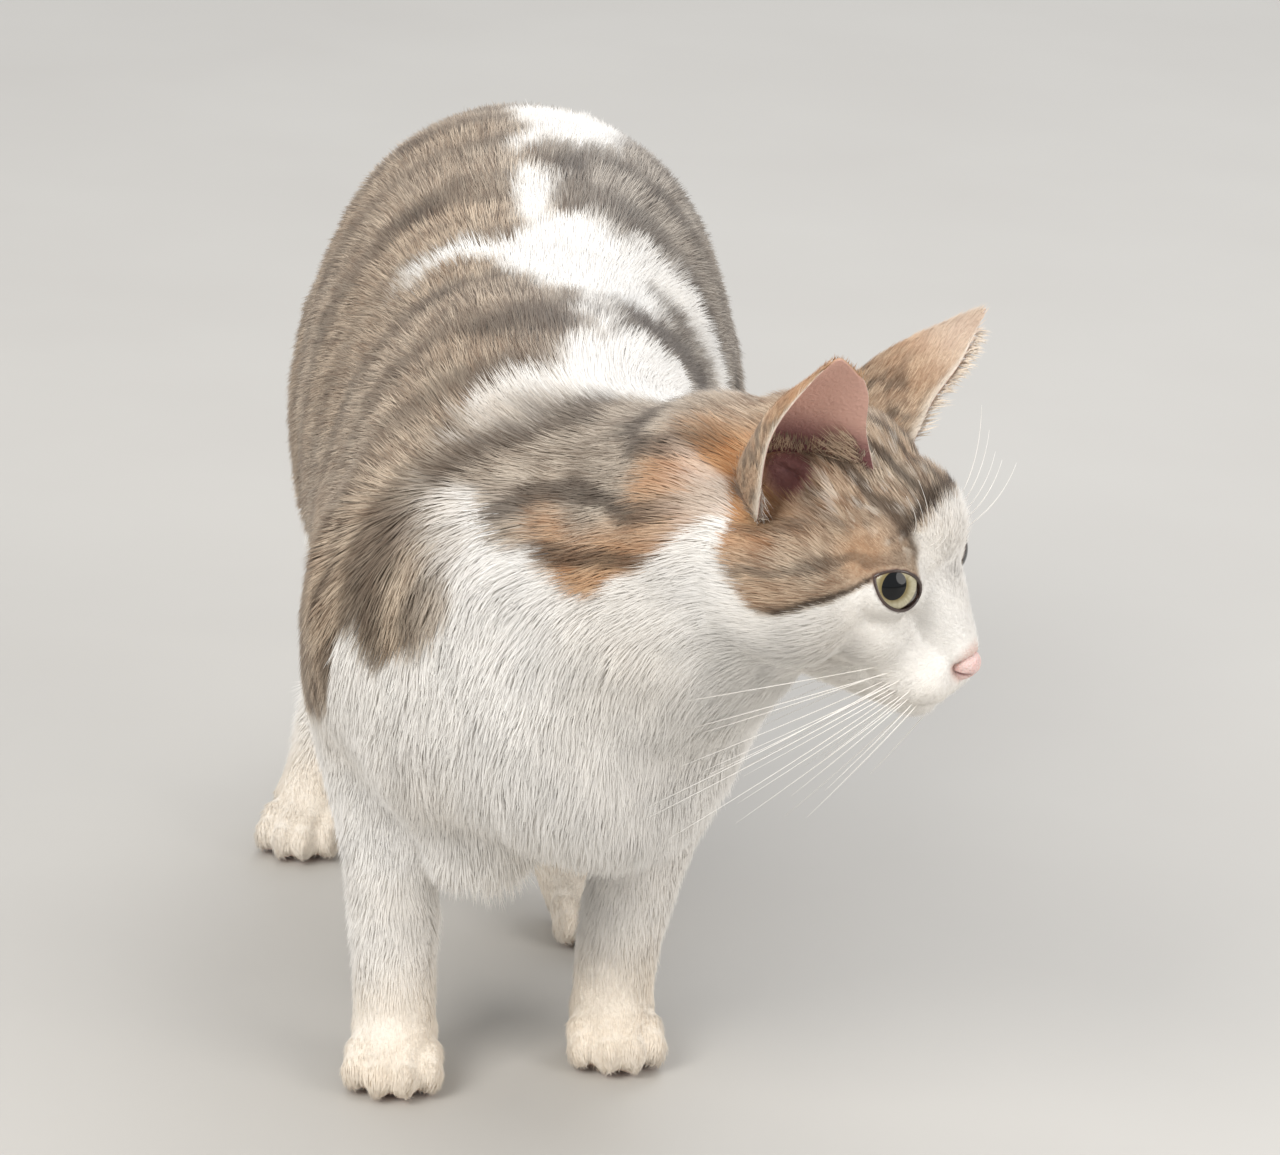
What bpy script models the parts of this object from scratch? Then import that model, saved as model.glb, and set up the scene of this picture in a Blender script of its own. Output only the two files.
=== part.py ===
"""A short-haired domestic cat, life size, standing still and looking to its left.

Frame: metres, +Z up, the cat faces -Y and its left is +X. Every figure below is in units of 9 mm, measured on the
tips of the coat, from the point on the floor midway between the forepaws. The last step moves the cat so that the
middle of its outline on the floor is the origin.

The flesh is built as one clay-like body from tubes and ellipsoids, smoothed, thinned to fewer faces, and then parted
into its named pieces by thin cuts. Ears, eyes and the nose leather are pieces of their own, set into the head.
"""

import math

import bmesh
import bpy
from mathutils import Matrix, Vector

UNIT = 0.009  # metres

# Overall sizes
WITHERS_TOP = 26.3
RUMP_TOP = 28.8
CHEST_BOTTOM = 7.4
CUT = 0.035  # width of the cuts that part the body, and of every gap between pieces
VOXEL = 0.26
TRIANGLES = 4800
FACE_MIDDLE = Vector((2.8, 0.0, 0.0))  # in the head's frame; the forms stay crisp round it, on the paws and on the tail
FACE_REACH, FACE_FADE = 3.8, 4.0
PAW_TOP, PAW_FADE = 3.5, 3.0
TAIL_FINE = 37.5
KEEP_DETAIL = 5e-5  # how dear the fine forms are when faces are taken away; the cost is in metres
TAIL_ROOT = 0.78  # where the tail starts, between its first two stations
TAIL_CUTS = (2, 4)  # stations of the tail where it is cut into lengths
WRIST_CUT = 3.1  # height of the cuts above the paws
SOLE = 0.22  # what lies lower than this is pressed flat on the floor

# Head: its own frame has x towards the nose, y to the cat's left and z up, from the middle of the skull
HEAD_AT = Vector((9.2, -8.2, 22.5))
HEAD_TURN = 62.0  # degrees to the cat's left
HEAD_NOD = 24.0  # degrees nose down
HEAD_SCALE = 0.95
COAT_ROUGHNESS = 0.9
EYE_ROUGHNESS = 0.1
EYE_RADIUS = 1.2
EYE_AT = Vector((2.35, 2.1, 0.75))
NOSE_AT = Vector((5.85, 0.0, -0.95))
NOSE_SIZE = Vector((0.42, 0.6, 0.48))

# Ears, in the head's frame, as if each were the left one: rims from the skull up to the tip, and the line of the back
EAR_TIP = Vector((-1.75, 5.1, 7.8))
EAR_LEANS = {"right": Vector((0, 0, 0)), "left": Vector((1.25, -0.2, 0.2))}  # how far each tip is swivelled from that
EAR_FRONT_RIM = [Vector((0.2, 1.7, 3.7)), Vector((-0.5, 2.6, 5.0)), Vector((-0.9, 3.5, 6.4))]
EAR_OUTER_RIM = [Vector((-1.9, 4.2, 0.9)), Vector((-2.6, 5.2, 3.9)), Vector((-2.3, 5.3, 6.3))]
EAR_BACK = [Vector((-3.6, 2.6, 1.9)), Vector((-3.1, 3.7, 4.6)), Vector((-2.2, 4.5, 6.6))]
EAR_THICK = 0.22
EAR_LEVELS = 7
EAR_COLUMNS = 8

# Feet: the middle of each paw on the floor, and how far the toes point outwards, in degrees
FOREPAWS = {"right": (Vector((-3.8, -0.3, 0.0)), 4.0), "left": (Vector((3.85, 2.2, 0.0)), 6.0)}
HINDPAWS = {"right": (Vector((-6.7, 21.2, 0.0)), 16.0), "left": (Vector((3.6, 13.4, 0.0)), 16.0)}
HOCKS = {"right": Vector((-5.0, 27.4, 8.0)), "left": Vector((1.1, 19.8, 7.4))}
SIDES = {"right": -1, "left": 1}


def clear_scene():
    for obj in list(bpy.data.objects):
        bpy.data.objects.remove(obj, do_unlink=True)


def finish(name, base, roughness):
    material = bpy.data.materials.new(name)
    material.use_nodes = True
    shader = material.node_tree.nodes["Principled BSDF"]
    shader.inputs["Base Color"].default_value = (*base, 1.0)
    shader.inputs["Roughness"].default_value = roughness
    shader.inputs["Metallic"].default_value = 0.0
    return material


def new_object(name, bm):
    mesh = bpy.data.meshes.new(name)
    bm.to_mesh(mesh)
    bm.free()
    obj = bpy.data.objects.new(name, mesh)
    bpy.context.scene.collection.objects.link(obj)
    return obj


def settle(obj):
    """Swaps the object's mesh for the one its modifiers make."""
    bpy.context.view_layer.update()
    graph = bpy.context.evaluated_depsgraph_get()
    mesh = bpy.data.meshes.new_from_object(obj.evaluated_get(graph), depsgraph=graph)
    obj.modifiers.clear()
    obj.data = mesh


def head_matrix():
    """The head's frame in the cat's, in units."""
    turn, nod = math.radians(HEAD_TURN), math.radians(HEAD_NOD)
    forward = Vector((math.sin(turn) * math.cos(nod), -math.cos(turn) * math.cos(nod), -math.sin(nod)))
    left = Vector((math.cos(turn), math.sin(turn), 0.0))
    up = forward.cross(left)
    axes = Matrix((forward, left, up)).transposed().to_4x4()
    return Matrix.Translation(HEAD_AT) @ axes @ Matrix.Scale(HEAD_SCALE, 4)


def curve_through(values, t):
    """A smooth value at t, from 0 to 1, through evenly spaced values, which are numbers or vectors."""
    place = min(max(t, 0.0), 1.0) * (len(values) - 1)
    i = min(int(place), len(values) - 2)
    f = place - i
    a, b = values[i], values[i + 1]
    before = values[i - 1] if i else a * 2 - b
    after = values[i + 2] if i + 2 < len(values) else b * 2 - a
    slope_a, slope_b = (b - before) * 0.5, (after - a) * 0.5
    h = f * f * (3 - 2 * f)
    return a * (1 - h) + b * h + slope_a * (f * (1 - f) ** 2) - slope_b * (f * f * (1 - f))


def add_ellipsoid(bm, centre, radii, place=None, turn=0.0):
    """turn is in degrees about z, before place, a matrix, is applied."""
    local = Matrix.Translation(centre) @ Matrix.Rotation(math.radians(turn), 4, "Z") @ Matrix.Diagonal((*radii, 1.0))
    bmesh.ops.create_icosphere(bm, subdivisions=4, radius=1.0, matrix=(place or Matrix()) @ local)


def add_tube(bm, stations, place=None, steps=8, sides=28, square=2.0, side_way=Vector((1, 0, 0))):
    """A closed tube through stations of (centre, half width, half height). Its ends are rounded over."""
    centres = [Vector(s[0]) for s in stations]
    widths = [float(s[1]) for s in stations]
    heights = [float(s[2]) for s in stations]
    count = steps * (len(stations) - 1)
    place = place or Matrix()
    rings = []
    for k in range(count + 1):
        t = k / count
        centre = curve_through(centres, t)
        along = (curve_through(centres, t + 0.01) - curve_through(centres, t - 0.01)).normalized()
        if t < 0.01 or t > 0.99:
            along = (curve_through(centres, min(t + 0.01, 1)) - curve_through(centres, max(t - 0.01, 0))).normalized()
        side = (side_way - along * side_way.dot(along)).normalized()
        up = along.cross(side)
        w, h = curve_through(widths, t), curve_through(heights, t)
        ring = []
        for j in range(sides):
            a = 2 * math.pi * j / sides
            c, s = math.cos(a), math.sin(a)
            cx = math.copysign(abs(c) ** (2 / square), c)
            sx = math.copysign(abs(s) ** (2 / square), s)
            ring.append(bm.verts.new(place @ (centre + side * (w * cx) + up * (h * sx))))
        rings.append(ring)
    for lower, upper in zip(rings, rings[1:]):
        for j in range(sides):
            n = (j + 1) % sides
            bm.faces.new((lower[j], lower[n], upper[n], upper[j]))
    bm.faces.new(list(reversed(rings[0])))
    bm.faces.new(rings[-1])


def add_trunk(bm):
    """Barrel of the body: (y, x, bottom, top, half width) at even steps from the chest to the root of the tail."""
    sections = [
        (-5.6, 0.7, 11.8, 17.6, 3.0),
        (-3.4, 0.6, 8.6, 21.6, 6.0),
        (0.2, 0.4, CHEST_BOTTOM, 24.8, 7.0),
        (5.0, 0.2, 7.8, WITHERS_TOP, 7.1),
        (10.0, 0.1, 8.2, 26.5, 7.3),
        (15.5, 0.2, 8.4, 27.3, 7.9),
        (21.0, 0.5, 9.2, 28.4, 8.2),
        (26.0, 0.7, 11.0, RUMP_TOP, 7.6),
        (30.5, 0.9, 15.0, 28.0, 5.9),
        (33.8, 1.1, 19.4, 25.6, 2.8),
    ]
    stations = [((x, y, (low + high) / 2), w, (high - low) / 2) for y, x, low, high, w in sections]
    add_tube(bm, stations, steps=5, sides=48, square=2.15)
    add_ellipsoid(bm, (-0.7, -1.2, 9.2), (2.5, 2.8, 2.8))


def add_neck(bm):
    head = head_matrix()
    nape = head @ Vector((-2.6, 0.0, -0.8))
    stations = [
        ((0.3, 5.5, 18.3), 5.6, 6.8),
        ((1.6, 0.5, 18.0), 6.2, 7.4),
        ((4.2, -3.6, 19.6), 5.3, 6.2),
        (nape, 4.5, 4.8),
    ]
    add_tube(bm, stations, steps=6, sides=36)
    add_ellipsoid(bm, (2.2, -3.6, 15.4), (5.4, 4.0, 6.2))
    add_ellipsoid(bm, head @ Vector((-1.4, -0.4, -2.8)), (4.0, 3.6, 3.0))
    add_ellipsoid(bm, (-1.6, -1.2, 18.0), (4.8, 4.4, 6.0))
    add_ellipsoid(bm, head @ Vector((-3.3, -0.5, -0.7)), (4.2, 4.0, 4.0))


def add_head(bm):
    place = head_matrix()
    add_ellipsoid(bm, (-1.2, 0, 0.8), (4.4, 4.2, 3.8), place)
    add_ellipsoid(bm, (1.3, 0, 1.6), (2.65, 3.1, 2.5), place)
    add_tube(
        bm,
        [((1.6, 0, 1.7), 2.3, 1.8), ((3.1, 0, 0.7), 1.7, 1.4), ((4.6, 0, -0.35), 1.1, 1.0), ((5.55, 0, -1.1), 0.85, 0.75)],
        place,
        side_way=Vector((0, 1, 0)),
    )
    add_tube(
        bm,
        [((-3.5, 0, -2.4), 3.2, 2.4), ((-0.5, 0, -2.9), 2.9, 2.0), ((2.4, 0, -3.0), 2.1, 1.4), ((4.4, 0, -2.9), 1.15, 0.9)],
        place,
        side_way=Vector((0, 1, 0)),
    )
    for side in SIDES.values():
        add_ellipsoid(bm, (-0.4, side * 2.9, -0.9), (3.3, 2.35, 3.0), place)
        add_ellipsoid(bm, (1.75, side * 1.7, 2.0), (1.4, 1.3, 0.9), place)
        add_ellipsoid(bm, (2.4, side * 2.2, -1.1), (1.9, 1.2, 1.3), place)
        add_ellipsoid(bm, (4.45, side * 1.0, -2.0), (1.5, 1.25, 1.15), place)
        add_ellipsoid(bm, (-1.7, side * 2.7, 2.4), (1.8, 1.3, 1.5), place)


def add_foreleg(bm, side_name):
    side = SIDES[side_name]
    paw, toe_out = FOREPAWS[side_name]
    wrist = paw + Vector((side * 0.1, 1.1, 3.6))
    elbow = Vector((side * 5.5 + 0.5, 3.0, 12.4))
    shoulder = Vector((side * 5.1 + 0.4, 0.4, 17.5))
    blade = Vector((side * 3.6 + 0.3, 4.2, 22.0))
    forearm = wrist.lerp(elbow, 0.5) + Vector((-side * 0.3, -0.2, 0))
    stations = [
        (blade, 2.0, 3.4),
        (shoulder, 2.7, 4.6),
        (elbow, 2.1, 3.0),
        (forearm, 1.72, 1.85),
        (wrist, 1.42, 1.45),
        (paw + Vector((0, 0.5, 1.4)), 1.45, 1.5),
    ]
    add_tube(bm, stations, steps=6)
    add_paw(bm, paw, side * toe_out, 1.72, 2.4)


def add_hindleg(bm, side_name):
    side = SIDES[side_name]
    paw, toe_out = HINDPAWS[side_name]
    hock = HOCKS[side_name]
    ankle = paw + Vector((-side * 0.7, 1.7, 2.4))
    stifle = Vector((side * 5.2 + 0.5, (paw.y + hock.y) / 2 - 2.4, 13.4))
    hip = Vector((side * 4.0 + 0.7, 26.0, 20.0))
    haunch = hip.lerp(stifle, 0.5) + Vector((side * 0.6, 1.0, 0))
    add_tube(bm, [(hip, 3.8, 6.4), (haunch, 3.3, 5.4), (stifle, 2.6, 3.4)])
    stations = [
        (stifle, 2.5, 3.6),
        (stifle.lerp(hock, 0.55), 1.95, 2.8),
        (hock, 1.3, 1.7),
        (hock.lerp(ankle, 0.5), 1.2, 1.25),
        (ankle, 1.3, 1.35),
        (paw + Vector((0, 0.4, 1.4)), 1.35, 1.4),
    ]
    add_tube(bm, stations, steps=6)
    add_paw(bm, paw, side * toe_out, 1.6, 2.5)


def add_paw(bm, paw, toe_out, half_width, half_length):
    """A paw on the floor: its pad, and four toes fanned round the front. Positive toe_out turns it to +X."""
    place = Matrix.Translation(paw) @ Matrix.Rotation(math.radians(toe_out), 4, "Z")
    add_ellipsoid(bm, (0, 0, 1.25), (half_width * 0.95, half_length * 0.8, 1.35), place)
    for k in range(4):
        across = (k - 1.5) / 1.5
        x = across * half_width * 0.66
        y = -half_length * (0.62 - 0.24 * across * across)
        add_ellipsoid(bm, (x, y, 0.78), (half_width * 0.36, half_length * 0.44, 0.92), place, turn=across * 14)


def tail_stations():
    return [
        (Vector((1.1, 31.5, 24.2)), 2.2),
        (Vector((1.2, 36.2, 22.3)), 1.7),
        (Vector((1.5, 38.6, 16.8)), 1.35),
        (Vector((1.9, 38.9, 11.2)), 1.25),
        (Vector((2.4, 40.0, 6.8)), 1.15),
        (Vector((2.8, 42.6, 3.8)), 0.7),
    ]


def add_tail(bm):
    add_tube(bm, [(at, r, r) for at, r in tail_stations()], steps=7, sides=20)


def flesh():
    """The whole cat but ears, eyes and nose, as one closed skin of a few thousand faces, in metres."""
    bm = bmesh.new()
    add_trunk(bm)
    add_neck(bm)
    add_head(bm)
    add_tail(bm)
    for side_name in SIDES:
        add_foreleg(bm, side_name)
        add_hindleg(bm, side_name)
    bmesh.ops.scale(bm, vec=Vector((UNIT, UNIT, UNIT)), verts=bm.verts)
    body = new_object("flesh", bm)
    remesh = body.modifiers.new("one skin", "REMESH")
    remesh.mode = "VOXEL"
    remesh.voxel_size = VOXEL * UNIT
    settle(body)
    weigh(body)
    smooth = body.modifiers.new("blend", "SMOOTH")
    smooth.factor = 0.5
    smooth.iterations = 60
    smooth.vertex_group = "broad"
    fine = body.modifiers.new("fine", "SMOOTH")
    fine.factor = 0.5
    fine.iterations = 4
    settle(body)
    stand_flat(body)
    thin = body.modifiers.new("fewer faces", "DECIMATE")
    thin.ratio = TRIANGLES / (2 * len(body.data.polygons))
    thin.vertex_group = "broad"
    thin.vertex_group_factor = KEEP_DETAIL
    settle(body)
    stand_flat(body)
    return body


def weigh(body):
    """Group broad is 1 on the trunk, where the forms blend, and low on the face, the paws and the tail's end."""
    broad = body.vertex_groups.new(name="broad")
    centre = (head_matrix() @ FACE_MIDDLE) * UNIT
    for v in body.data.vertices:
        from_head = ((v.co - centre).length / UNIT - FACE_REACH) / FACE_FADE
        from_floor = (v.co.z / UNIT - PAW_TOP) / PAW_FADE
        from_tail = (TAIL_FINE - v.co.y / UNIT) / PAW_FADE
        weight = min(1.0, max(0.05, min(from_head, from_floor, from_tail)))
        broad.add([v.index], weight, "REPLACE")


def stand_flat(body):
    """Presses the soles to small flats at floor level."""
    for v in body.data.vertices:
        if v.co.z < SOLE * UNIT:
            v.co.z = 0.0


# ---------------------------------------------------------------- cuts and pieces


def boolean(obj, cutter, operation="DIFFERENCE"):
    step = obj.modifiers.new("cut", "BOOLEAN")
    step.operation = operation
    step.object = cutter
    settle(obj)
    bpy.data.objects.remove(cutter, do_unlink=True)


def disc(at, along, radius):
    """A cutter: a thin round plate across the direction along."""
    bm = bmesh.new()
    turn = along.to_track_quat("Z", "Y").to_matrix().to_4x4()
    place = Matrix.Translation(at * UNIT) @ turn
    bmesh.ops.create_cone(
        bm, cap_ends=True, segments=32, radius1=radius * UNIT, radius2=radius * UNIT, depth=CUT * UNIT, matrix=place
    )
    return new_object("cutter", bm)


def sleeve(top, foot, half_x, half_y):
    """A cutter: a thin-walled bullet with a dome at the top. A leg lies in it, from its joint to below the floor."""
    around, domes = 10, 3
    top, foot = Vector(top), Vector(foot)
    bm = bmesh.new()
    walls = []
    for grow in (0.0, CUT):
        peak = bm.verts.new((top + Vector((0, 0, (half_x + half_y) / 2 + grow))) * UNIT)
        rings = []
        for k in range(1, domes + 2):
            angle = math.pi / 2 * min(k / domes, 1.0)
            centre = foot if k > domes else top + Vector((0, 0, ((half_x + half_y) / 2 + grow) * math.cos(angle)))
            ring = []
            for j in range(around):
                turn = 2 * math.pi * j / around
                x = math.cos(turn) * (half_x + grow) * math.sin(angle)
                y = math.sin(turn) * (half_y + grow) * math.sin(angle)
                ring.append(bm.verts.new((centre + Vector((x, y, 0.0))) * UNIT))
            rings.append(ring)
        for j in range(around):
            n = (j + 1) % around
            bm.faces.new((peak, rings[0][j], rings[0][n]))
            for upper, lower in zip(rings, rings[1:]):
                bm.faces.new((upper[j], lower[j], lower[n], upper[n]))
        walls.append(rings[-1])
    for j in range(around):
        n = (j + 1) % around
        bm.faces.new((walls[1][j], walls[0][j], walls[0][n], walls[1][n]))
    bmesh.ops.recalc_face_normals(bm, faces=bm.faces)
    return new_object("cutter", bm)


def loose_pieces(obj):
    """Splits an object into its unconnected pieces and gives them back, the original removed."""
    bm = bmesh.new()
    bm.from_mesh(obj.data)
    bpy.data.objects.remove(obj, do_unlink=True)
    pieces = []
    left = set(bm.verts)
    while left:
        reach = [left.pop()]
        island = set(reach)
        while reach:
            for edge in reach.pop().link_edges:
                near = set(edge.verts) & left
                left -= near
                island |= near
                reach.extend(near)
        piece = bmesh.new()
        twin = {v: piece.verts.new(v.co) for v in island}
        for face in {face for v in island for face in v.link_faces}:
            piece.faces.new([twin[v] for v in face.verts])
        pieces.append(new_object("piece", piece))
    bm.free()
    return pieces


def middle(obj):
    return sum((v.co for v in obj.data.vertices), Vector()) / len(obj.data.vertices) / UNIT


def split(obj, cutters, places):
    """Cuts obj and names each piece after the nearest of the places, a dictionary of points."""
    for cutter in cutters:
        boolean(obj, cutter)
    named = {}
    for piece in loose_pieces(obj):
        name = min(places, key=lambda key: (middle(piece) - places[key]).length)
        piece.name = name
        named[name] = piece
    return named


def part_body(body):
    """Parts the flesh into its named pieces by thin cuts."""
    head = head_matrix()
    nape = disc(head @ Vector((-2.6, 0, -1.0)), head.to_3x3() @ Vector((0.88, 0.0, 0.48)), 7.6)
    collar = disc(Vector((1.6, -2.4, 20.4)), Vector((0.38, -0.78, 0.5)), 17.0)
    places = {"head": HEAD_AT, "neck": Vector((4.5, -4.0, 19.5)), "trunk": Vector((0.5, 18.0, 15.0))}
    pieces = split(body, [nape, collar], places)

    tail = [at for at, radius in tail_stations()]
    cutters = [disc(tail[0].lerp(tail[1], TAIL_ROOT) - Vector((0, 0, 1.0)), Vector((0, 1, -0.1)), 6.0)]
    cutters += [disc(tail[k], tail[k + 1] - tail[k - 1], 3.0) for k in TAIL_CUTS]
    places = {
        "trunk": Vector((0.5, 16.0, 19.0)),
        "tail_base": (tail[1] + tail[2]) / 2,
        "tail_middle": tail[3],
        "tail_tip": tail[5],
    }
    for side_name, side in SIDES.items():
        forepaw, hindpaw = FOREPAWS[side_name][0], HINDPAWS[side_name][0]
        cutters.append(sleeve((side * 6.6 + 0.3, 2.8, 15.4), forepaw + Vector((side * 1.0, 0.6, -3.0)), 4.4, 6.0))
        cutters.append(sleeve((side * 6.4 + 0.6, 24.6, 15.0), hindpaw + Vector((side * 0.8, 2.0, -3.0)), 5.2, 8.2))
        places["foreleg_" + side_name] = Vector((side * 5.0, 2.0, 12.0))
        places["hindleg_" + side_name] = Vector((side * 5.0, 23.0, 13.5))
    pieces |= split(pieces["trunk"], cutters, places)

    for side_name in SIDES:
        for leg, paw_name, paws in (("foreleg_", "forepaw_", FOREPAWS), ("hindleg_", "hindpaw_", HINDPAWS)):
            paw = paws[side_name][0]
            whole = leg + side_name
            places = {whole: paw + Vector((0, 4, 12)), paw_name + side_name: paw + Vector((0, 0, 1.5))}
            wrist = disc(paw + Vector((0, 1.2, WRIST_CUT)), Vector((0, 0, 1)), 4.4)
            pieces |= split(pieces[whole], [wrist], places)
    return pieces


# ---------------------------------------------------------------- ears, eyes and nose


def ear_shell(side_name):
    """One ear: a thin cup between its two rims and the line of its back, from inside the skull to the tip."""
    side = SIDES[side_name]

    def skin(u, t):
        front, back, outer = (curve_through([*line, EAR_TIP], t) for line in (EAR_FRONT_RIM, EAR_BACK, EAR_OUTER_RIM))
        lean = EAR_LEANS[side_name] * t
        return lean + front * (1 - u) * (1 - 2 * u) + back * (4 * u * (1 - u)) + outer * (u * (2 * u - 1))

    bm = bmesh.new()
    place = head_matrix()
    outside, inside = [], []
    for k in range(EAR_LEVELS + 1):
        t = 0.96 * (1 - (1 - k / EAR_LEVELS) ** 1.4)
        outside.append([])
        inside.append([])
        for j in range(EAR_COLUMNS + 1):
            u = j / EAR_COLUMNS
            at = skin(u, t)
            inward = (skin(u + 0.01, t) - skin(u - 0.01, t)).cross(skin(u, t + 0.01) - skin(u, t - 0.01)).normalized()
            hollow = at + inward * EAR_THICK * (1 - 0.4 * t)
            for points, point in ((outside, at), (inside, hollow)):
                points[-1].append(bm.verts.new(place @ Vector((point.x, point.y * side, point.z)) * UNIT))
    loops = [low + list(reversed(high)) for low, high in zip(outside, inside)]
    for lower, upper in zip(loops, loops[1:]):
        for j in range(len(lower)):
            n = (j + 1) % len(lower)
            bm.faces.new((lower[j], lower[n], upper[n], upper[j]))
    for low, high in ((outside[0], inside[0]), (outside[-1], inside[-1])):
        for j in range(EAR_COLUMNS):
            bm.faces.new((low[j], low[j + 1], high[j + 1], high[j]))
    bmesh.ops.recalc_face_normals(bm, faces=bm.faces)
    return new_object("ear_" + side_name, bm)


def ball(name, centre, radii):
    """An ellipsoid in the head's frame."""
    bm = bmesh.new()
    place = Matrix.Scale(UNIT, 4) @ head_matrix() @ Matrix.Translation(centre) @ Matrix.Diagonal((*radii, 1.0))
    bmesh.ops.create_uvsphere(bm, u_segments=12, v_segments=8, radius=1.0, matrix=place)
    return new_object(name, bm)


def add_features(pieces):
    """Sets the eyes, the nose leather and the ears into the head, each with a gap of the width of a cut."""
    head = pieces["head"]
    gap = Vector((CUT, CUT, CUT)) / HEAD_SCALE
    features = {"nose": (NOSE_AT, NOSE_SIZE)}
    for side_name, side in SIDES.items():
        at = Vector((EYE_AT.x, EYE_AT.y * side, EYE_AT.z))
        features["eye_" + side_name] = (at, Vector((EYE_RADIUS,) * 3))
    for name, (at, radii) in features.items():
        boolean(head, ball("socket", at, radii + gap))
        pieces[name] = ball(name, at, radii)
    for side_name in SIDES:
        name = "ear_" + side_name
        fuller = head.copy()
        fuller.data = head.data.copy()
        bpy.context.scene.collection.objects.link(fuller)
        swell = fuller.modifiers.new("gap", "DISPLACE")
        swell.mid_level = 0.0
        swell.strength = CUT * UNIT
        settle(fuller)
        pieces[name] = ear_shell(side_name)
        boolean(pieces[name], fuller)


def paint(pieces):
    """One plain material for each piece, near the middle of its coat's colours."""
    white, cream, tabby, orange = (0.80, 0.76, 0.70), (0.66, 0.55, 0.43), (0.27, 0.20, 0.14), (0.42, 0.22, 0.09)
    colours = {
        "head": tabby,
        "neck": orange,
        "trunk": tabby,
        "tail": tabby,
        "foreleg": white,
        "hindleg": white,
        "forepaw": cream,
        "hindpaw": cream,
        "ear": orange,
        "nose": (0.62, 0.33, 0.28),
        "eye": (0.45, 0.42, 0.22),
    }
    for name, piece in pieces.items():
        kind = name.split("_")[0]
        piece.name = piece.data.name = name
        piece.data.materials.clear()
        piece.data.materials.append(finish(name, colours[kind], EYE_ROUGHNESS if kind == "eye" else COAT_ROUGHNESS))


def centre_on_floor(pieces):
    """Moves the cat so that the middle of its outline on the floor is the origin."""
    corners = [v.co for piece in pieces.values() for v in piece.data.vertices]
    middle_x = (min(c.x for c in corners) + max(c.x for c in corners)) / 2
    middle_y = (min(c.y for c in corners) + max(c.y for c in corners)) / 2
    lowest = min(c.z for c in corners)
    shift = Matrix.Translation((-middle_x, -middle_y, -lowest))
    for piece in pieces.values():
        piece.data.transform(shift)


clear_scene()
pieces = part_body(flesh())
add_features(pieces)
paint(pieces)
centre_on_floor(pieces)
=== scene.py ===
# A short-haired cat, life size, standing and looking to its left: skin, eyes, nose, whiskers, claws and coat.
import math

import bmesh
import bpy
import numpy as np
from mathutils import Matrix, Vector
from mathutils.bvhtree import BVHTree


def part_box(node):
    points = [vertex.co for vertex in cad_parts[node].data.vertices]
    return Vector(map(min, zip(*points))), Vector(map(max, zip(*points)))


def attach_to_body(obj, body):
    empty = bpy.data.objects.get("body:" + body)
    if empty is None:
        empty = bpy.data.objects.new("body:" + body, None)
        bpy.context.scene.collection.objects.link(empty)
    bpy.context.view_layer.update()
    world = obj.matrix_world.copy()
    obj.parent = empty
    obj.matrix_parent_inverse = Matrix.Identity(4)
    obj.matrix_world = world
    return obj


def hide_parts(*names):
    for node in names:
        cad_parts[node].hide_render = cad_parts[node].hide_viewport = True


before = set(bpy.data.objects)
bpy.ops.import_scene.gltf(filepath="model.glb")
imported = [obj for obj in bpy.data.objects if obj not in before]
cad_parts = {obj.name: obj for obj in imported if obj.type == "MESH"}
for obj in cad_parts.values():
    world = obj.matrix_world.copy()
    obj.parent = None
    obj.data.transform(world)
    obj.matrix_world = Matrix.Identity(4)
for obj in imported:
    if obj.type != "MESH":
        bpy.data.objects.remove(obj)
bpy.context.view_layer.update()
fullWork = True
bpy.ops.object.select_all(action="DESELECT")
chance = np.random.default_rng(7)
mm = 0.001

# The cat is measured in units of 9 mm from the floor midway between its forepaws; the head in its own frame,
# x to the nose, y to the cat's left, z up
pose = dict(
    unit=0.009,
    headAt=(9.2, -8.2, 22.5),
    headTurn=62.0,
    headNod=24.0,
    headScale=0.95,
    eyeAt=(2.35, 2.1, 0.75),
)
sides = {"right": -1, "left": 1}


def boxMiddle(node):
    low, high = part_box(node)
    return (low + high) / 2


def eyeCentre(side):
    x, y, z = pose["eyeAt"]
    return x, side * y, z


def placeHead():
    turn, nod = math.radians(pose["headTurn"]), math.radians(pose["headNod"])
    forward = Vector((math.sin(turn) * math.cos(nod), -math.cos(turn) * math.cos(nod), -math.sin(nod)))
    left = Vector((math.cos(turn), math.sin(turn), 0.0))
    axes = Matrix((forward, left, forward.cross(left))).transposed()
    size = pose["unit"] * pose["headScale"]
    between = (boxMiddle("eye_left") + boxMiddle("eye_right")) / 2
    at = between - axes @ Vector((pose["eyeAt"][0], 0.0, pose["eyeAt"][2])) * size
    return Matrix.Translation(at) @ axes.to_4x4() @ Matrix.Scale(size, 4)


headSpace = placeHead()
bodyAt = headSpace.translation - Vector(pose["headAt"]) * pose["unit"]
bodySpace = Matrix.Translation(bodyAt) @ Matrix.Scale(pose["unit"], 4)


def across(matrix, points):
    table = np.array(matrix)
    return points @ table[:3, :3].T + table[:3, 3]


def toBody(points):
    return across(bodySpace.inverted(), points)


def toHead(points):
    return across(headSpace.inverted(), points)


def unitRows(rows):
    return rows / np.maximum(np.linalg.norm(rows, axis=1, keepdims=True), 1e-12)


def smoothStep(low, high, values):
    t = np.clip((values - low) / (high - low), 0.0, 1.0)
    return t * t * (3 - 2 * t)


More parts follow.
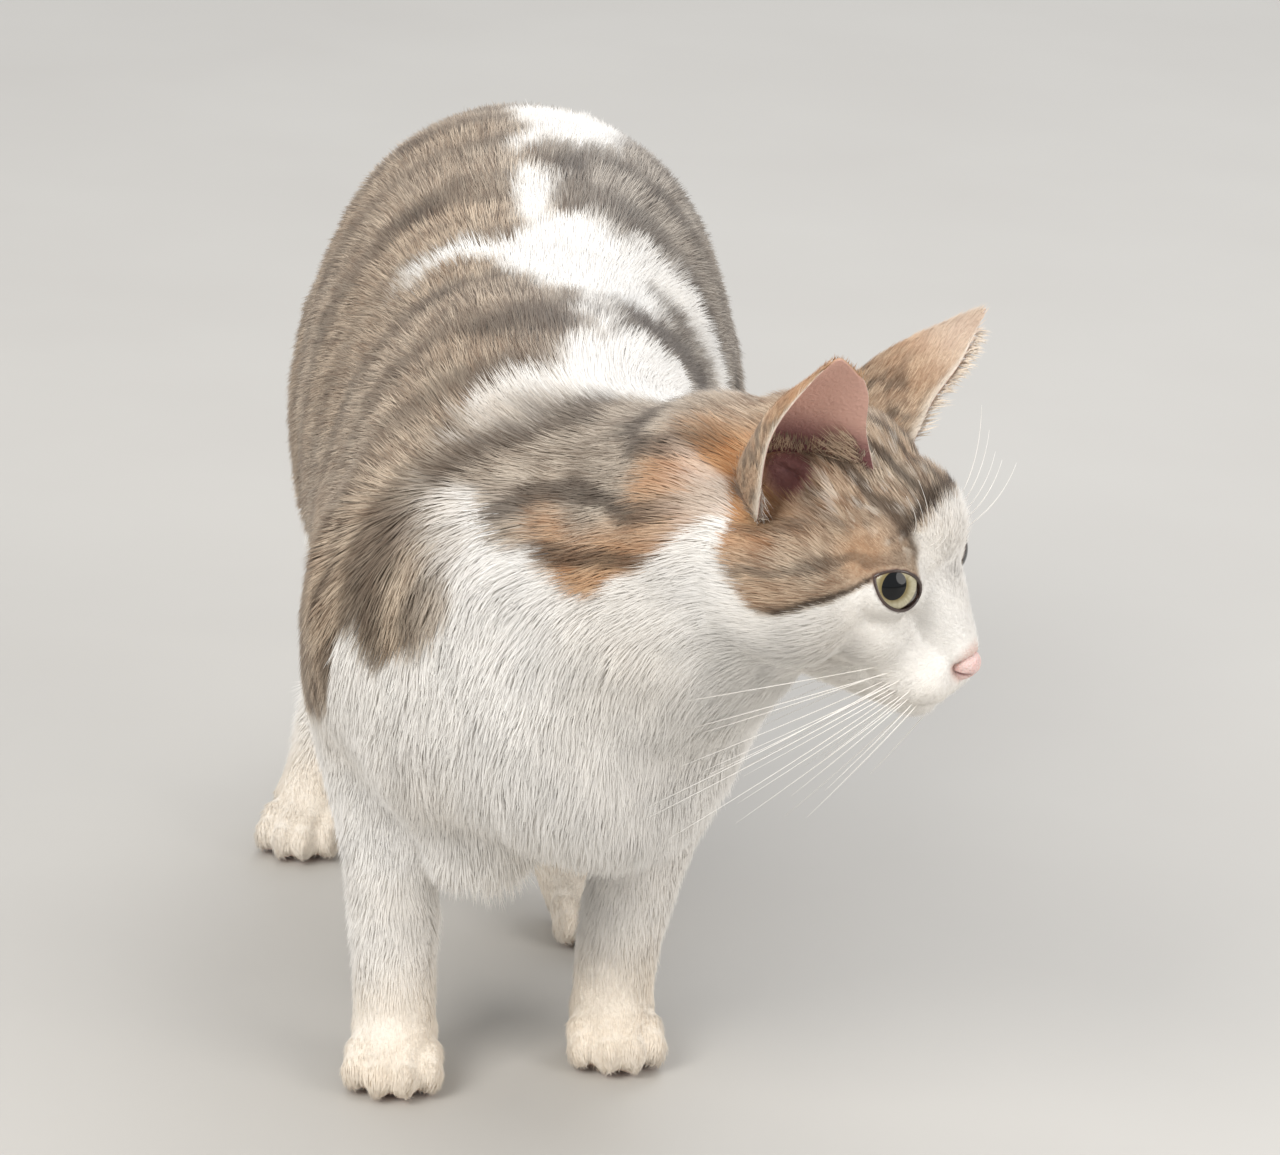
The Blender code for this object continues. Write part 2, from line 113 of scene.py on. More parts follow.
def curveThrough(values, t):
    # a smooth value at t, from 0 to 1, through evenly spaced values
    place = min(max(t, 0.0), 1.0) * (len(values) - 1)
    i = min(int(place), len(values) - 2)
    f = place - i
    a, b = values[i], values[i + 1]
    before = values[i - 1] if i else a * 2 - b
    after = values[i + 2] if i + 2 < len(values) else b * 2 - a
    slopeA, slopeB = (b - before) * 0.5, (after - a) * 0.5
    h = f * f * (3 - 2 * f)
    return a * (1 - h) + b * h + slopeA * (f * (1 - f) ** 2) - slopeB * (f * f * (1 - f))


def grain(points, size, seed):
    # smooth random values from -1 to 1 over space, one each size
    place = np.asarray(points, float) / size + seed * 17.3
    cell = np.floor(place).astype(np.int64)
    f = place - cell
    f = f * f * (3 - 2 * f)
    total = np.zeros(len(place))
    for corner in range(8):
        step = np.array([corner & 1, corner >> 1 & 1, corner >> 2 & 1])
        key = cell + step
        mix = (key[:, 0] * 73856093) ^ (key[:, 1] * 19349663) ^ (key[:, 2] * 83492791) ^ (seed * 2654435)
        mix = (mix ^ (mix >> 13)) * 1274126177
        value = ((mix ^ (mix >> 16)) & 0xFFFF) / 32767.5 - 1.0
        weight = np.prod(np.where(step == 1, f, 1 - f), axis=1)
        total += value * weight
    return total


# Camera, floor and light

view = dict(at=(-10.118, -157.665, 71.317), turn=(71.468, -3.319, -3.888), lens=140.625)
camera = bpy.data.objects.new("camera", bpy.data.cameras.new("camera"))
bpy.context.scene.collection.objects.link(camera)
camera.location = bodySpace @ Vector(view["at"])
camera.rotation_euler = [math.radians(a) for a in view["turn"]]
camera.data.lens = view["lens"]
camera.data.sensor_width = 36.0
camera.data.clip_start, camera.data.clip_end = 0.05, 60.0
bpy.context.scene.camera = camera
bpy.context.scene.view_settings.view_transform = "Standard"

lamps = [
    dict(name="window", at=(-1.6, -1.7, 1.9), size=1.6, watts=58.0, colour=(1.0, 0.98, 0.95)),
    dict(name="fill", at=(1.9, -1.4, 1.2), size=1.8, watts=28.0, colour=(1.0, 0.96, 0.92)),
    dict(name="back", at=(0.8, 2.0, 2.0), size=1.5, watts=22.0, colour=(0.95, 0.97, 1.0)),
    dict(name="top", at=(-0.2, 0.2, 2.4), size=2.0, watts=16.0, colour=(1.0, 1.0, 1.0)),
]
for lamp in lamps:
    light = bpy.data.lights.new(lamp["name"], "AREA")
    light.shape, light.size = "DISK", lamp["size"]
    light.energy, light.color = lamp["watts"], lamp["colour"]
    holder = bpy.data.objects.new(lamp["name"], light)
    holder.location = lamp["at"]
    holder.rotation_euler = (Vector((0, 0, 0.14)) - holder.location).to_track_quat("-Z", "Y").to_euler()
    bpy.context.scene.collection.objects.link(holder)

room = bpy.data.worlds.new("studio")
room.use_nodes = True
for name, value in dict(Color=(0.80, 0.82, 0.85, 1.0), Strength=0.70).items():
    room.node_tree.nodes["Background"].inputs[name].default_value = value
bpy.context.scene.world = room
print("camera, lights and room are set")


# Materials: a wire is one socket, and sums on it become nodes

class Wire:
    def __init__(self, tree, socket=None):
        self.tree, self.socket = tree, socket

    def node(self, kind, settings=(), sockets=(), output=0):
        new = self.tree.nodes.new(kind)
        for name, value in dict(settings).items():
            if name == "stops":
                ramp = new.color_ramp
                while len(ramp.elements) < len(value):
                    ramp.elements.new(1.0)
                for stop, (place, colour) in zip(ramp.elements, value):
                    stop.position, stop.color = place, (*colour, 1.0)
            else:
                setattr(new, name, value)
        for key, value in dict(sockets).items():
            if isinstance(value, Wire):
                self.tree.links.new(value.socket, new.inputs[key])
            else:
                new.inputs[key].default_value = value
        return Wire(self.tree, new.outputs[output])

    def sum(self, operation, *values, clamp=False):
        settings = {"operation": operation, "use_clamp": clamp}
        return self.node("ShaderNodeMath", settings, {i: v for i, v in enumerate(values)})

    def __add__(self, other):
        return self.sum("ADD", self, other)

    def __sub__(self, other):
        return self.sum("SUBTRACT", self, other)

    def __mul__(self, other):
        return self.sum("MULTIPLY", self, other)

    def __rsub__(self, other):
        return self.sum("SUBTRACT", other, self)

    __radd__, __rmul__ = __add__, __mul__

    def mixed(self, first, second):
        # a colour between two, with this wire as the share of the second
        colours = {0: self}
        for key, value in ((6, first), (7, second)):
            colours[key] = value if isinstance(value, Wire) else (*value, 1.0)
        settings = {"data_type": "RGBA", "clamp_factor": True}
        return self.node("ShaderNodeMix", settings, colours, output=2)

    def times(self, colour, strength):
        # colour scaled by a value
        return self.node("ShaderNodeVectorMath", {"operation": "SCALE"}, {0: colour, "Scale": strength})

    def split(self):
        parts = self.node("ShaderNodeSeparateColor", {}, {0: self})
        return [Wire(self.tree, parts.socket.node.outputs[i]) for i in range(3)]

    def marked(self, name):
        # what the mesh's own points say
        return self.node("ShaderNodeAttribute", {"attribute_name": name})

    def noise(self, scale, detail=2.0):
        places = self.node("ShaderNodeTexCoord", output=3)
        return self.node("ShaderNodeTexNoise", {}, {"Vector": places, "Scale": scale, "Detail": detail})

    def within(self, low, high):
        # 0 at low and 1 at high
        return self.node("ShaderNodeMapRange", {}, {0: self, 1: low, 2: high})


def shade(red, green, blue):
    # a colour by its screen values, as the linear one that shaders use
    values = [c / 255 for c in (red, green, blue)]
    return tuple(v / 12.92 if v <= 10 / 255 else ((v + 0.055) / 1.055) ** 2.4 for v in values)


def newMaterial(name, roughness=0.6, **constants):
    material = bpy.data.materials.new(name)
    material.use_nodes = True
    shader = material.node_tree.nodes["Principled BSDF"]
    shader.inputs["Roughness"].default_value = roughness
    for key, value in constants.items():
        shader.inputs[key.replace("_", " ")].default_value = value
    return material, Wire(material.node_tree), shader


def attach(wire, shader, socket):
    wire.tree.links.new(wire.socket, shader.inputs[socket])


def bumpFrom(wire, height, distance):
    return wire.node("ShaderNodeBump", {}, {"Height": height, "Distance": distance})


hues = dict(
    white=shade(250, 247, 242),
    cream=shade(247, 232, 210),
    tabbyPale=shade(236, 215, 188),
    tabbyDeep=shade(128, 101, 78),
    greyPale=shade(220, 211, 198),
    greyDeep=shade(112, 101, 90),
    stripe=shade(66, 52, 41),
    orangePale=shade(232, 184, 132),
    orangeDeep=shade(192, 126, 70),
    skinPink=shade(224, 180, 164),
    earPink=shade(200, 158, 144),
    # painted shade deep in the ears
    earShade=shade(124, 82, 82),
    line=shade(92, 64, 56),
)


def coatColour(w, coat, fine):
    # white, stripe and orange are the channels of coat, and warm its alpha; fine varies within the hair
    white, stripe, orange = coat.split()
    warm = Wire(w.tree, coat.socket.node.outputs["Alpha"])
    pale = warm.mixed(hues["greyPale"], hues["tabbyPale"])
    deep = warm.mixed(hues["greyDeep"], hues["tabbyDeep"])
    ground = fine.mixed(pale, deep)
    ginger = fine.mixed(hues["orangePale"], hues["orangeDeep"])
    ground = orange.mixed(ground, ginger)
    ground = (stripe * 0.9).mixed(ground, hues["stripe"])
    snow = warm.mixed(hues["white"], hues["cream"])
    return white.mixed(ground, snow)


def makeCoatMaterial():
    surface = dict(Sheen_Weight=0.12, Sheen_Roughness=0.5, Specular_IOR_Level=0.35)
    material, w, shader = newMaterial("coat", 0.62, **surface)
    coat = w.marked("coat")
    along, luck, shadow = w.marked("strand").split()
    fine = w.sum("ADD", luck * 0.75 + w.noise(90.0, 3.0) * 0.5 - 0.25, along * 0.15, clamp=True)
    colour = coatColour(w, coat, fine)
    # painted shade darkens each hair towards its buried root, painted shadow darkens whole clumps, and each
    # tuft differs a little from the next
    snow = coat.split()[0]
    paintedRootShade = (1.0 - along) * (0.30 - snow * 0.26)
    light = (1.0 - paintedRootShade) * (0.94 + luck * 0.08) * (1.0 - shadow)
    attach(w.times(colour, light), shader, "Base Color")
    attach(0.55 + luck * 0.18, shader, "Roughness")
    return material


def makeSkinMaterial():
    material, w, shader = newMaterial("skin", 0.6, Specular_IOR_Level=0.3)
    coat = w.marked("coat")
    pink, dark, line = w.marked("bare").split()
    hair, vein = w.noise(900.0, 4.0), w.noise(120.0, 4.0)
    # the skin under the coat takes the coat's colour, painted darker as shade beneath the hair, less so under
    # white
    under = w.times(coatColour(w, coat, hair), 0.62 + hair * 0.22 + coat.split()[0] * 0.16)
    # dark is painted shade deep in the ears and in the well at their roots
    flesh = dark.mixed(vein.mixed(hues["earPink"], hues["skinPink"]), hues["earShade"])
    colour = pink.mixed(under, flesh)
    attach(line.mixed(colour, hues["line"]), shader, "Base Color")
    attach(0.5 + hair * 0.25, shader, "Roughness")
    attach(bumpFrom(w, hair, 0.0006), shader, "Normal")
    return material


coatMaterial = makeCoatMaterial()
skinMaterial = makeSkinMaterial()

floorMaterial, w, shader = newMaterial("floor", 0.55)
attach(w.noise(6.0, 6.0).mixed(shade(182, 178, 172), shade(190, 187, 181)), shader, "Base Color")
bpy.ops.mesh.primitive_plane_add(size=60.0, location=(0, 0, 0))
floor = bpy.context.object
floor.name = "floor"
floor.data.transform(floor.matrix_world)
floor.matrix_world = Matrix()
floor.data.materials.append(floorMaterial)
bpy.ops.object.select_all(action="DESELECT")
print("materials and floor are made")


# Mesh helpers

def finishWith(obj, kind, **settings):
    step = obj.modifiers.new(kind, kind)
    for name, value in settings.items():
        setattr(step, name, value)
    bpy.context.view_layer.objects.active = obj
    bpy.ops.object.modifier_apply(modifier=step.name)


def joined(parts, name):
    bpy.ops.object.select_all(action="DESELECT")
    for part in parts:
        part.select_set(True)
    bpy.context.view_layer.objects.active = parts[0]
    bpy.ops.object.join()
    whole = bpy.context.object
    whole.name = whole.data.name = name
    bpy.ops.object.select_all(action="DESELECT")
    return whole


def fromBmesh(bm, name):
    mesh = bpy.data.meshes.new(name)
    bm.to_mesh(mesh)
    bm.free()
    obj = bpy.data.objects.new(name, mesh)
    bpy.context.scene.collection.objects.link(obj)
    return obj


def addBlob(space, centre, radii, turn=0.0, tilt=0.0):
    bpy.ops.mesh.primitive_ico_sphere_add(subdivisions=5, radius=1.0, location=(0, 0, 0))
    blob = bpy.context.object
    turned = Matrix.Rotation(math.radians(turn), 4, "Z") @ Matrix.Rotation(math.radians(tilt), 4, "Y")
    blob.data.transform(space @ Matrix.Translation(centre) @ turned @ Matrix.Diagonal((*radii, 1.0)))
    return blob


def addTube(space, stations, steps=12, around=40, sideWay=Vector((0, 1, 0))):
    # a closed tube through stations of (centre, half width, half height)
    centres = [Vector(s[0]) for s in stations]
    count = steps * (len(stations) - 1)
    bm = bmesh.new()
    rings = []
    for k in range(count + 1):
        t = k / count
        centre = curveThrough(centres, t)
        ahead, behind = curveThrough(centres, min(t + 0.01, 1)), curveThrough(centres, max(t - 0.01, 0))
        along = (ahead - behind).normalized()
        side = (sideWay - along * sideWay.dot(along)).normalized()
        up = along.cross(side)
        width = curveThrough([float(s[1]) for s in stations], t)
        height = curveThrough([float(s[2]) for s in stations], t)
        ring = []
        for j in range(around):
            a = 2 * math.pi * j / around
            spot = centre + side * (width * math.cos(a)) + up * (height * math.sin(a))
            ring.append(bm.verts.new(space @ spot))
        rings.append(ring)
    for lower, upper in zip(rings, rings[1:]):
        for j in range(around):
            n = (j + 1) % around
            bm.faces.new((lower[j], lower[n], upper[n], upper[j]))
    bm.faces.new(list(reversed(rings[0])))
    bm.faces.new(rings[-1])
    bmesh.ops.recalc_face_normals(bm, faces=bm.faces)
    return fromBmesh(bm, "tube")


def meshTable(obj):
    # its points, normals and edges as arrays
    mesh = obj.data
    count = len(mesh.vertices)
    points, normals = np.empty(count * 3), np.empty(count * 3, np.float32)
    mesh.vertices.foreach_get("co", points)
    mesh.vertex_normals.foreach_get("vector", normals)
    edges = np.empty(len(mesh.edges) * 2, np.int64)
    mesh.edges.foreach_get("vertices", edges)
    return points.reshape(-1, 3), normals.reshape(-1, 3).astype(float), edges.reshape(-1, 2)


def spread(values, edges, rounds):
    # each point takes the mean of itself and its neighbours, so many times
    count = len(values)
    first, second = np.concatenate([edges[:, 0], edges[:, 1]]), np.concatenate([edges[:, 1], edges[:, 0]])
    links = np.bincount(first, minlength=count) + 1.0
    values = values.astype(float)
    for _ in range(rounds):
        total = values.copy()
        for c in range(values.shape[1]):
            total[:, c] += np.bincount(first, weights=values[second, c], minlength=count)
        values = total / links[:, None]
    return values


def setPoints(obj, points):
    obj.data.vertices.foreach_set("co", np.ascontiguousarray(points, np.float32).ravel())
    obj.data.update()


# Which part of the body a point is on, by the nearest CAD node

regions = {
    "head": ["head"],
    "neck": ["neck"],
    "trunk": ["trunk"],
    "tail": ["tail_base", "tail_middle", "tail_tip"],
    "foreleg": ["foreleg_right", "foreleg_left"],
    "hindleg": ["hindleg_right", "hindleg_left"],
    "paw": ["forepaw_right", "forepaw_left", "hindpaw_right", "hindpaw_left"],
}
regionNames = list(regions) + ["ear"]
regionAt = {name: i for i, name in enumerate(regionNames)}


def regionTree():
    points, triangles, owners = [], [], []
    for number, nodes in enumerate(regions.values()):
        for node in nodes:
            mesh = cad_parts[node].data
            start = len(points)
            points.extend(v.co.copy() for v in mesh.vertices)
            for face in mesh.polygons:
                triangles.append([start + i for i in face.vertices])
                owners.append(number)
    return BVHTree.FromPolygons(points, triangles), np.array(owners)


nearestNode, nodeOwners = regionTree()


def regionShares(points, edges, rounds):
    shares = np.zeros((len(points), len(regionNames)))
    for i, point in enumerate(points):
        shares[i, nodeOwners[nearestNode.find_nearest(Vector(point))[2]]] = 1.0
    return spread(shares, edges, rounds)


# Skin. Coat depths in mm, as far as the skin lies inside the CAD

depths = dict(head=4.2, neck=3.4, trunk=3.4, tail=3.4, foreleg=0.0, hindleg=0.6, paw=1.0, ear=0.0)
# voxels in mm; under the chest, where the hair is long, the skin lies deeper by fringe
skinWay = dict(
    coreVoxel=2.4,
    coreSmooth=22,
    voxel=1.15,
    smooth=11,
    faces=168000,
    fringe=11.0,
    fringeAt=(-0.7, -1.4, 8.2),
    fringeSize=(3.3, 3.4, 3.0),
)
# the eyeball, the thickness of its lids, the line of sight in degrees and the opening between the lids
eyeWay = dict(
    radius=1.2,
    lid=0.12,
    axisOut=38.0,
    axisUp=8.0,
    tilt=13.0,
    middle=(0.0, 0.15),
    half=1.0,
    upper=0.66,
    lower=0.60,
)


def nodeCopy(node):
    bm = bmesh.new()
    bm.from_mesh(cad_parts[node].data)
    bmesh.ops.remove_doubles(bm, verts=bm.verts, dist=1e-5)
    return fromBmesh(bm, "copy")


def makeCore():
    # trunk, neck, legs and tail: copies of the solids, made one, rounded and drawn in by the coat's depth
    wanted = [node for name, nodes in regions.items() if name != "paw" for node in nodes]
    core = joined([nodeCopy(node) for node in wanted], "core")
    finishWith(core, "REMESH", mode="VOXEL", voxel_size=skinWay["coreVoxel"] * mm)
    spots, faces = [v.co for v in core.data.vertices], [tuple(f.vertices) for f in core.data.polygons]
    outer = BVHTree.FromPolygons(spots, faces)
    finishWith(core, "SMOOTH", factor=0.5, iterations=skinWay["coreSmooth"])
    for _ in range(2):
        points, normals, edges = meshTable(core)
        shares = regionShares(points, edges, 10)
        trunk, foreleg, hindleg = (shares[:, regionAt[name]] for name in ("trunk", "foreleg", "hindleg"))
        body = toBody(points)
        depth = shares @ np.array([depths[name] for name in regionNames])
        # the hair is thin low on the legs and over the rump
        depth -= 0.5 * smoothStep(9.0, 5.0, body[:, 2]) * (foreleg + hindleg)
        fringe = np.exp(-(((body - skinWay["fringeAt"]) / skinWay["fringeSize"]) ** 2).sum(1))
        depth *= 1 - 0.5 * smoothStep(23.5, 27.0, body[:, 2]) * trunk
        depth += skinWay["fringe"] * fringe * (1 - foreleg)
        inside = np.empty(len(points))
        for i, point in enumerate(points):
            near, away, _, far = outer.find_nearest(Vector(point))
            inside[i] = far if (Vector(point) - near).dot(away) < 0 else -far
        move = spread((inside - depth * mm)[:, None], edges, 6)
        setPoints(core, points + normals * np.clip(move, -12 * mm, 9 * mm))
    finishWith(core, "SMOOTH", factor=0.5, iterations=4)
    return core


def makeSkull():
    # the head at skin size, from the forms of skull and muscle
    bridge = [
        ((1.4, 0, 1.6), 2.2, 1.7),
        ((3.1, 0, 0.64), 1.5, 1.25),
        ((4.6, 0, -0.40), 0.98, 0.92),
        ((5.5, 0, -1.08), 0.80, 0.72),
    ]
    jaw = [
        ((-3.2, 0, -2.2), 2.9, 2.1),
        ((-0.5, 0, -2.7), 2.6, 1.75),
        ((2.3, 0, -2.95), 1.8, 1.15),
        ((4.3, 0, -3.0), 1.05, 0.82),
    ]
    parts = []
    s = headSpace
    parts.append(addBlob(s, (-1.2, 0, 0.7), (4.05, 3.85, 3.5)))
    parts.append(addBlob(s, (1.3, 0, 1.5), (2.42, 2.85, 2.28)))
    parts += [addTube(s, bridge), addTube(s, jaw)]
    for side in sides.values():
        parts.append(addBlob(s, (-0.4, side * 2.75, -0.85), (3.0, 2.1, 2.7)))  # jaw muscle
        parts.append(addBlob(s, (1.75, side * 1.7, 1.92), (1.3, 1.2, 0.82)))  # brow
        parts.append(addBlob(s, (2.3, side * 1.95, -1.15), (1.9, 1.0, 1.15)))  # cheekbone
        parts.append(addBlob(s, (4.5, side * 0.98, -2.0), (1.42, 1.12, 1.02)))  # whisker pad
        parts.append(addBlob(s, (-1.7, side * 2.7, 2.3), (1.6, 1.1, 1.3)))  # root of the ear
        parts.append(addBlob(s, eyeCentre(side), (eyeWay["radius"] + eyeWay["lid"],) * 3))
    parts.append(addBlob(s, (4.55, 0, -3.05), (1.0, 0.88, 0.74)))  # chin
    parts.append(addBlob(s, (5.15, 0, -1.95), (0.86, 0.78, 0.72)))  # upper lip
    return parts


# each paw, and the shank above it: from the leg, through the joint, to the paw
feet = {
    "forepaw_right": dict(
        at=(-3.8, -0.3, 0.0), toeOut=-4.0, halfWidth=1.72, halfLength=2.4,
        shank=[(-3.95, 1.0, 4.6), (-3.85, 0.6, 2.7), (-3.8, 0.2, 1.4)],
    ),
    "forepaw_left": dict(
        at=(3.85, 2.2, 0.0), toeOut=6.0, halfWidth=1.72, halfLength=2.4,
        shank=[(4.0, 3.5, 4.6), (3.9, 3.1, 2.7), (3.85, 2.7, 1.4)],
    ),
    "hindpaw_right": dict(
        at=(-6.7, 21.2, 0.0), toeOut=-16.0, halfWidth=1.6, halfLength=2.5,
        shank=[(-5.5, 25.0, 5.0), (-5.95, 23.2, 2.9), (-6.6, 21.7, 1.4)],
    ),
    "hindpaw_left": dict(
        at=(3.6, 13.4, 0.0), toeOut=16.0, halfWidth=1.6, halfLength=2.5,
        shank=[(2.0, 17.4, 4.8), (2.85, 15.3, 2.7), (3.5, 13.9, 1.4)],
    ),
}
shankRadii = (1.36, 1.40, 1.46)
insteps = {
    "fore": [((0, 1.0, 2.9), 1.2, 0.95), ((0, 0.15, 2.0), 1.28, 0.90), ((0, -0.9, 1.05), 1.2, 0.80)],
    "hind": [((0, 1.7, 2.8), 1.05, 0.95), ((0, 0.6, 2.0), 1.15, 0.95), ((0, -0.9, 1.0), 1.12, 0.80)],
}


def pawSpace(foot):
    return bodySpace @ Matrix.Translation(foot["at"]) @ Matrix.Rotation(math.radians(foot["toeOut"]), 4, "Z")


def toeSpots(foot):
    # where each toe's middle is, and its turn, from the inner to the outer
    for k in range(4):
        side = (k - 1.5) / 1.5
        forward = foot["halfLength"] * (0.62 - 0.26 * side * side)
        yield Vector((side * foot["halfWidth"] * 0.68, -forward, 0.78)), side * 14


def makePaws():
    # each paw is a pad, four toes with their knuckles, the shank and the instep between them
    parts = []
    thin = 0.10
    for name, foot in feet.items():
        s, wide, long = pawSpace(foot), foot["halfWidth"], foot["halfLength"]
        parts.append(addBlob(s, (0, 0.1, 1.10), (wide * 0.90 - thin, long * 0.78 - thin, 1.18 - thin)))
        shank = [(Vector(at), r, r) for at, r in zip(foot["shank"], shankRadii)]
        parts.append(addTube(bodySpace, shank, sideWay=Vector((1, 0, 0))))
        parts.append(addTube(s, insteps[name[:4]], sideWay=Vector((1, 0, 0))))
        toe = (wide * 0.34 - thin * 0.5, long * 0.42 - thin, 0.88 - thin)
        knuckle = (wide * 0.31 - thin * 0.5, long * 0.30, 0.66)
        for at, turn in toeSpots(foot):
            parts.append(addBlob(s, at, toe, turn=turn))
            parts.append(addBlob(s, at + Vector((0, 0.45, 0.42)), knuckle, turn=turn))
    return parts


skin = joined([makeCore()] + makeSkull() + makePaws(), "skin")
finishWith(skin, "REMESH", mode="VOXEL", voxel_size=skinWay["voxel"] * mm)
print("skin is one mesh of", len(skin.data.polygons), "faces")


def eyeAxes(side):
    # the eye's own directions in the head's frame: to the nose, up, and out along its line of sight
    out, up = math.radians(eyeWay["axisOut"]), math.radians(eyeWay["axisUp"])
    sight = np.array([math.cos(out) * math.cos(up), side * math.sin(out) * math.cos(up), math.sin(up)])
    noseward = np.cross([0, 0, 1.0], sight)
    noseward *= -side / np.linalg.norm(noseward)
    upward = np.cross(sight, noseward)
    upward *= np.sign(upward[2])
    return noseward, upward, sight


def almond(count=240):
    # the opening between the lids, to the nose and up, in units
    turns = np.linspace(0, 2 * np.pi, count, endpoint=False)
    x, lift = np.cos(turns), np.sin(turns)
    height = np.where(lift > 0, eyeWay["upper"], eyeWay["lower"])
    y = np.sign(lift) * height * np.abs(1 - np.abs(x) ** 2.2) ** 0.72
    cosine, sine = math.cos(math.radians(-eyeWay["tilt"])), math.sin(math.radians(-eyeWay["tilt"]))
    x = x * eyeWay["half"]
    return np.stack([x * cosine - y * sine, x * sine + y * cosine], 1) + eyeWay["middle"]


lidCurve = almond()
lidOff = lidCurve - eyeWay["middle"]
lidAngles, lidReach = np.arctan2(lidOff[:, 1], lidOff[:, 0]), np.hypot(lidOff[:, 1], lidOff[:, 0])
lidOrder = np.argsort(lidAngles)


def lidRadius(x, y):
    turn = np.arctan2(y - eyeWay["middle"][1], x - eyeWay["middle"][0])
    return np.interp(turn, lidAngles[lidOrder], lidReach[lidOrder], period=2 * np.pi)


def lidGap(spots):
    # how far each place in an eye's view is outside the opening, and below 0 inside it
    off = spots[:, :2] - eyeWay["middle"]
    return np.hypot(off[:, 0], off[:, 1]) - lidRadius(spots[:, 0], spots[:, 1])


def eyeView(points, side):
    # row points as (noseward, up, outward) from the middle of that eye, in units
    return (toHead(points) - eyeCentre(side)) @ np.array(eyeAxes(side)).T


def fromEyeView(spots, side):
    return across(headSpace, spots @ np.array(eyeAxes(side)) + eyeCentre(side))


# Ears: a thin cup between two rims and the line of the back, in the head's frame, each as if it were the left

ears = dict(
    tip=(-1.75, 5.1, 7.8),
    lean={"right": (0.08, 0.2, 0.55), "left": (1.25, -0.2, 0.2)},
    front=[(0.2, 1.7, 3.7), (-0.5, 2.6, 5.0), (-0.9, 3.5, 6.4)],
    outer=[(-1.9, 4.2, 0.9), (-2.6, 5.2, 3.9), (-2.3, 5.3, 6.3)],
    back=[(-3.6, 2.6, 1.9), (-3.1, 3.7, 4.6), (-2.2, 4.5, 6.6)],
    thick=0.16,
    off=0.03,
    top=dict(right=0.86, left=0.985),
    round=dict(right=0.10, left=0.05),
    levels=34,
    columns=40,
    hollow=1.15,
    hollowAt=(-2.1, 3.5, 2.75),
    hollowSize=(1.45, 1.5, 1.8),
)
# the lips meet from the front of the mouth back to its corners
mouth = dict(front=(6.0, 0.0, -2.25), corner=(3.9, 1.75, -2.75), groove=0.10, deep=0.13)


def mouthDistance(head):
    # how far each head point is above the line between the lips, and a share that fades to 0 past its corners
    frontX, frontZ, cornerX, cornerZ = (mouth[end][i] for end in ("front", "corner") for i in (0, 2))
    back = np.clip((frontX - head[:, 0]) / (frontX - cornerX), 0, 1)
    sag = 0.62 * np.sin(np.pi * np.clip(back * 1.1, 0, 1)) * 0.55
    off = head[:, 2] - (frontZ - sag + (cornerZ - frontZ) * back)
    reach = smoothStep(cornerX - 0.1, cornerX + 0.2, head[:, 0]) * smoothStep(2.3, 2.0, np.abs(head[:, 1]))
    return off, reach


def earHollow(head):
    # from 0 to 1, how deep in the well between the rims of an ear
    asLeft = np.abs(head * [0, 1, 0]) + head * [1, 0, 1]
    off = (asLeft - ears["hollowAt"]) / ears["hollowSize"]
    return np.exp(-1.3 * (off**2).sum(1) ** 1.5)


def carveFace(obj):
    # the line of the mouth, the groove under the nose, the hollow of each ear and soft cheeks
    points, normals, edges = meshTable(obj)
    head = toHead(points)
    off, reach = mouthDistance(head)
    size = pose["unit"] * pose["headScale"]
    sink = mouth["deep"] * np.exp(-((off / mouth["groove"]) ** 2)) * reach * (head[:, 0] > 3.4)
    groove = np.exp(-((head[:, 1] / 0.12) ** 2)) * smoothStep(5.2, 5.6, head[:, 0])
    groove = groove * smoothStep(-1.2, -1.5, head[:, 2]) * smoothStep(-2.6, -2.3, head[:, 2])
    sink += 0.16 * groove
    sink += ears["hollow"] * earHollow(head)
    soft = np.zeros(len(points))
    for side in sides.values():
        off = (head - np.array([3.2, side * 1.75, -1.1])) / np.array([2.2, 1.4, 1.4])
        soft = np.maximum(soft, np.exp(-((off**2).sum(1) ** 1.5)))
        soft *= smoothStep(1.3, 1.7, np.linalg.norm(head - eyeCentre(side), axis=1))
    smoothed = spread(points, edges, 70)
    points = points + (smoothed - points) * soft[:, None]
    setPoints(obj, points - normals * (sink * size)[:, None])


finishWith(skin, "SMOOTH", factor=0.5, iterations=skinWay["smooth"])
points, normals, edges = meshTable(skin)
# soft wrists and ankles, where the paws run into the legs
low = toBody(points)[:, 2]
soft = smoothStep(1.7, 2.3, low) * smoothStep(5.6, 4.2, low)
points += (spread(points, edges, 30) - points) * soft[:, None]
setPoints(skin, points)
# the mesh is thinned away from the face and the paws
thin = skin.vertex_groups.new(name="thin")
plain = smoothStep(3.4, 5.4, np.linalg.norm(toHead(points) - np.array([3.2, 0, -0.6]), axis=1))
plain = np.minimum(plain, smoothStep(2.2, 3.4, toBody(points)[:, 2]))
for level in range(11):
    chosen = np.nonzero(np.round(plain * 10) == level)[0]
    if len(chosen):
        thin.add(chosen.tolist(), max(level / 10, 0.02), "REPLACE")
ratio = skinWay["faces"] / (2 * len(skin.data.polygons))
finishWith(skin, "DECIMATE", ratio=ratio, vertex_group="thin", vertex_group_factor=0.0006)
carveFace(skin)
print("skin thinned to", len(skin.data.polygons), "faces")


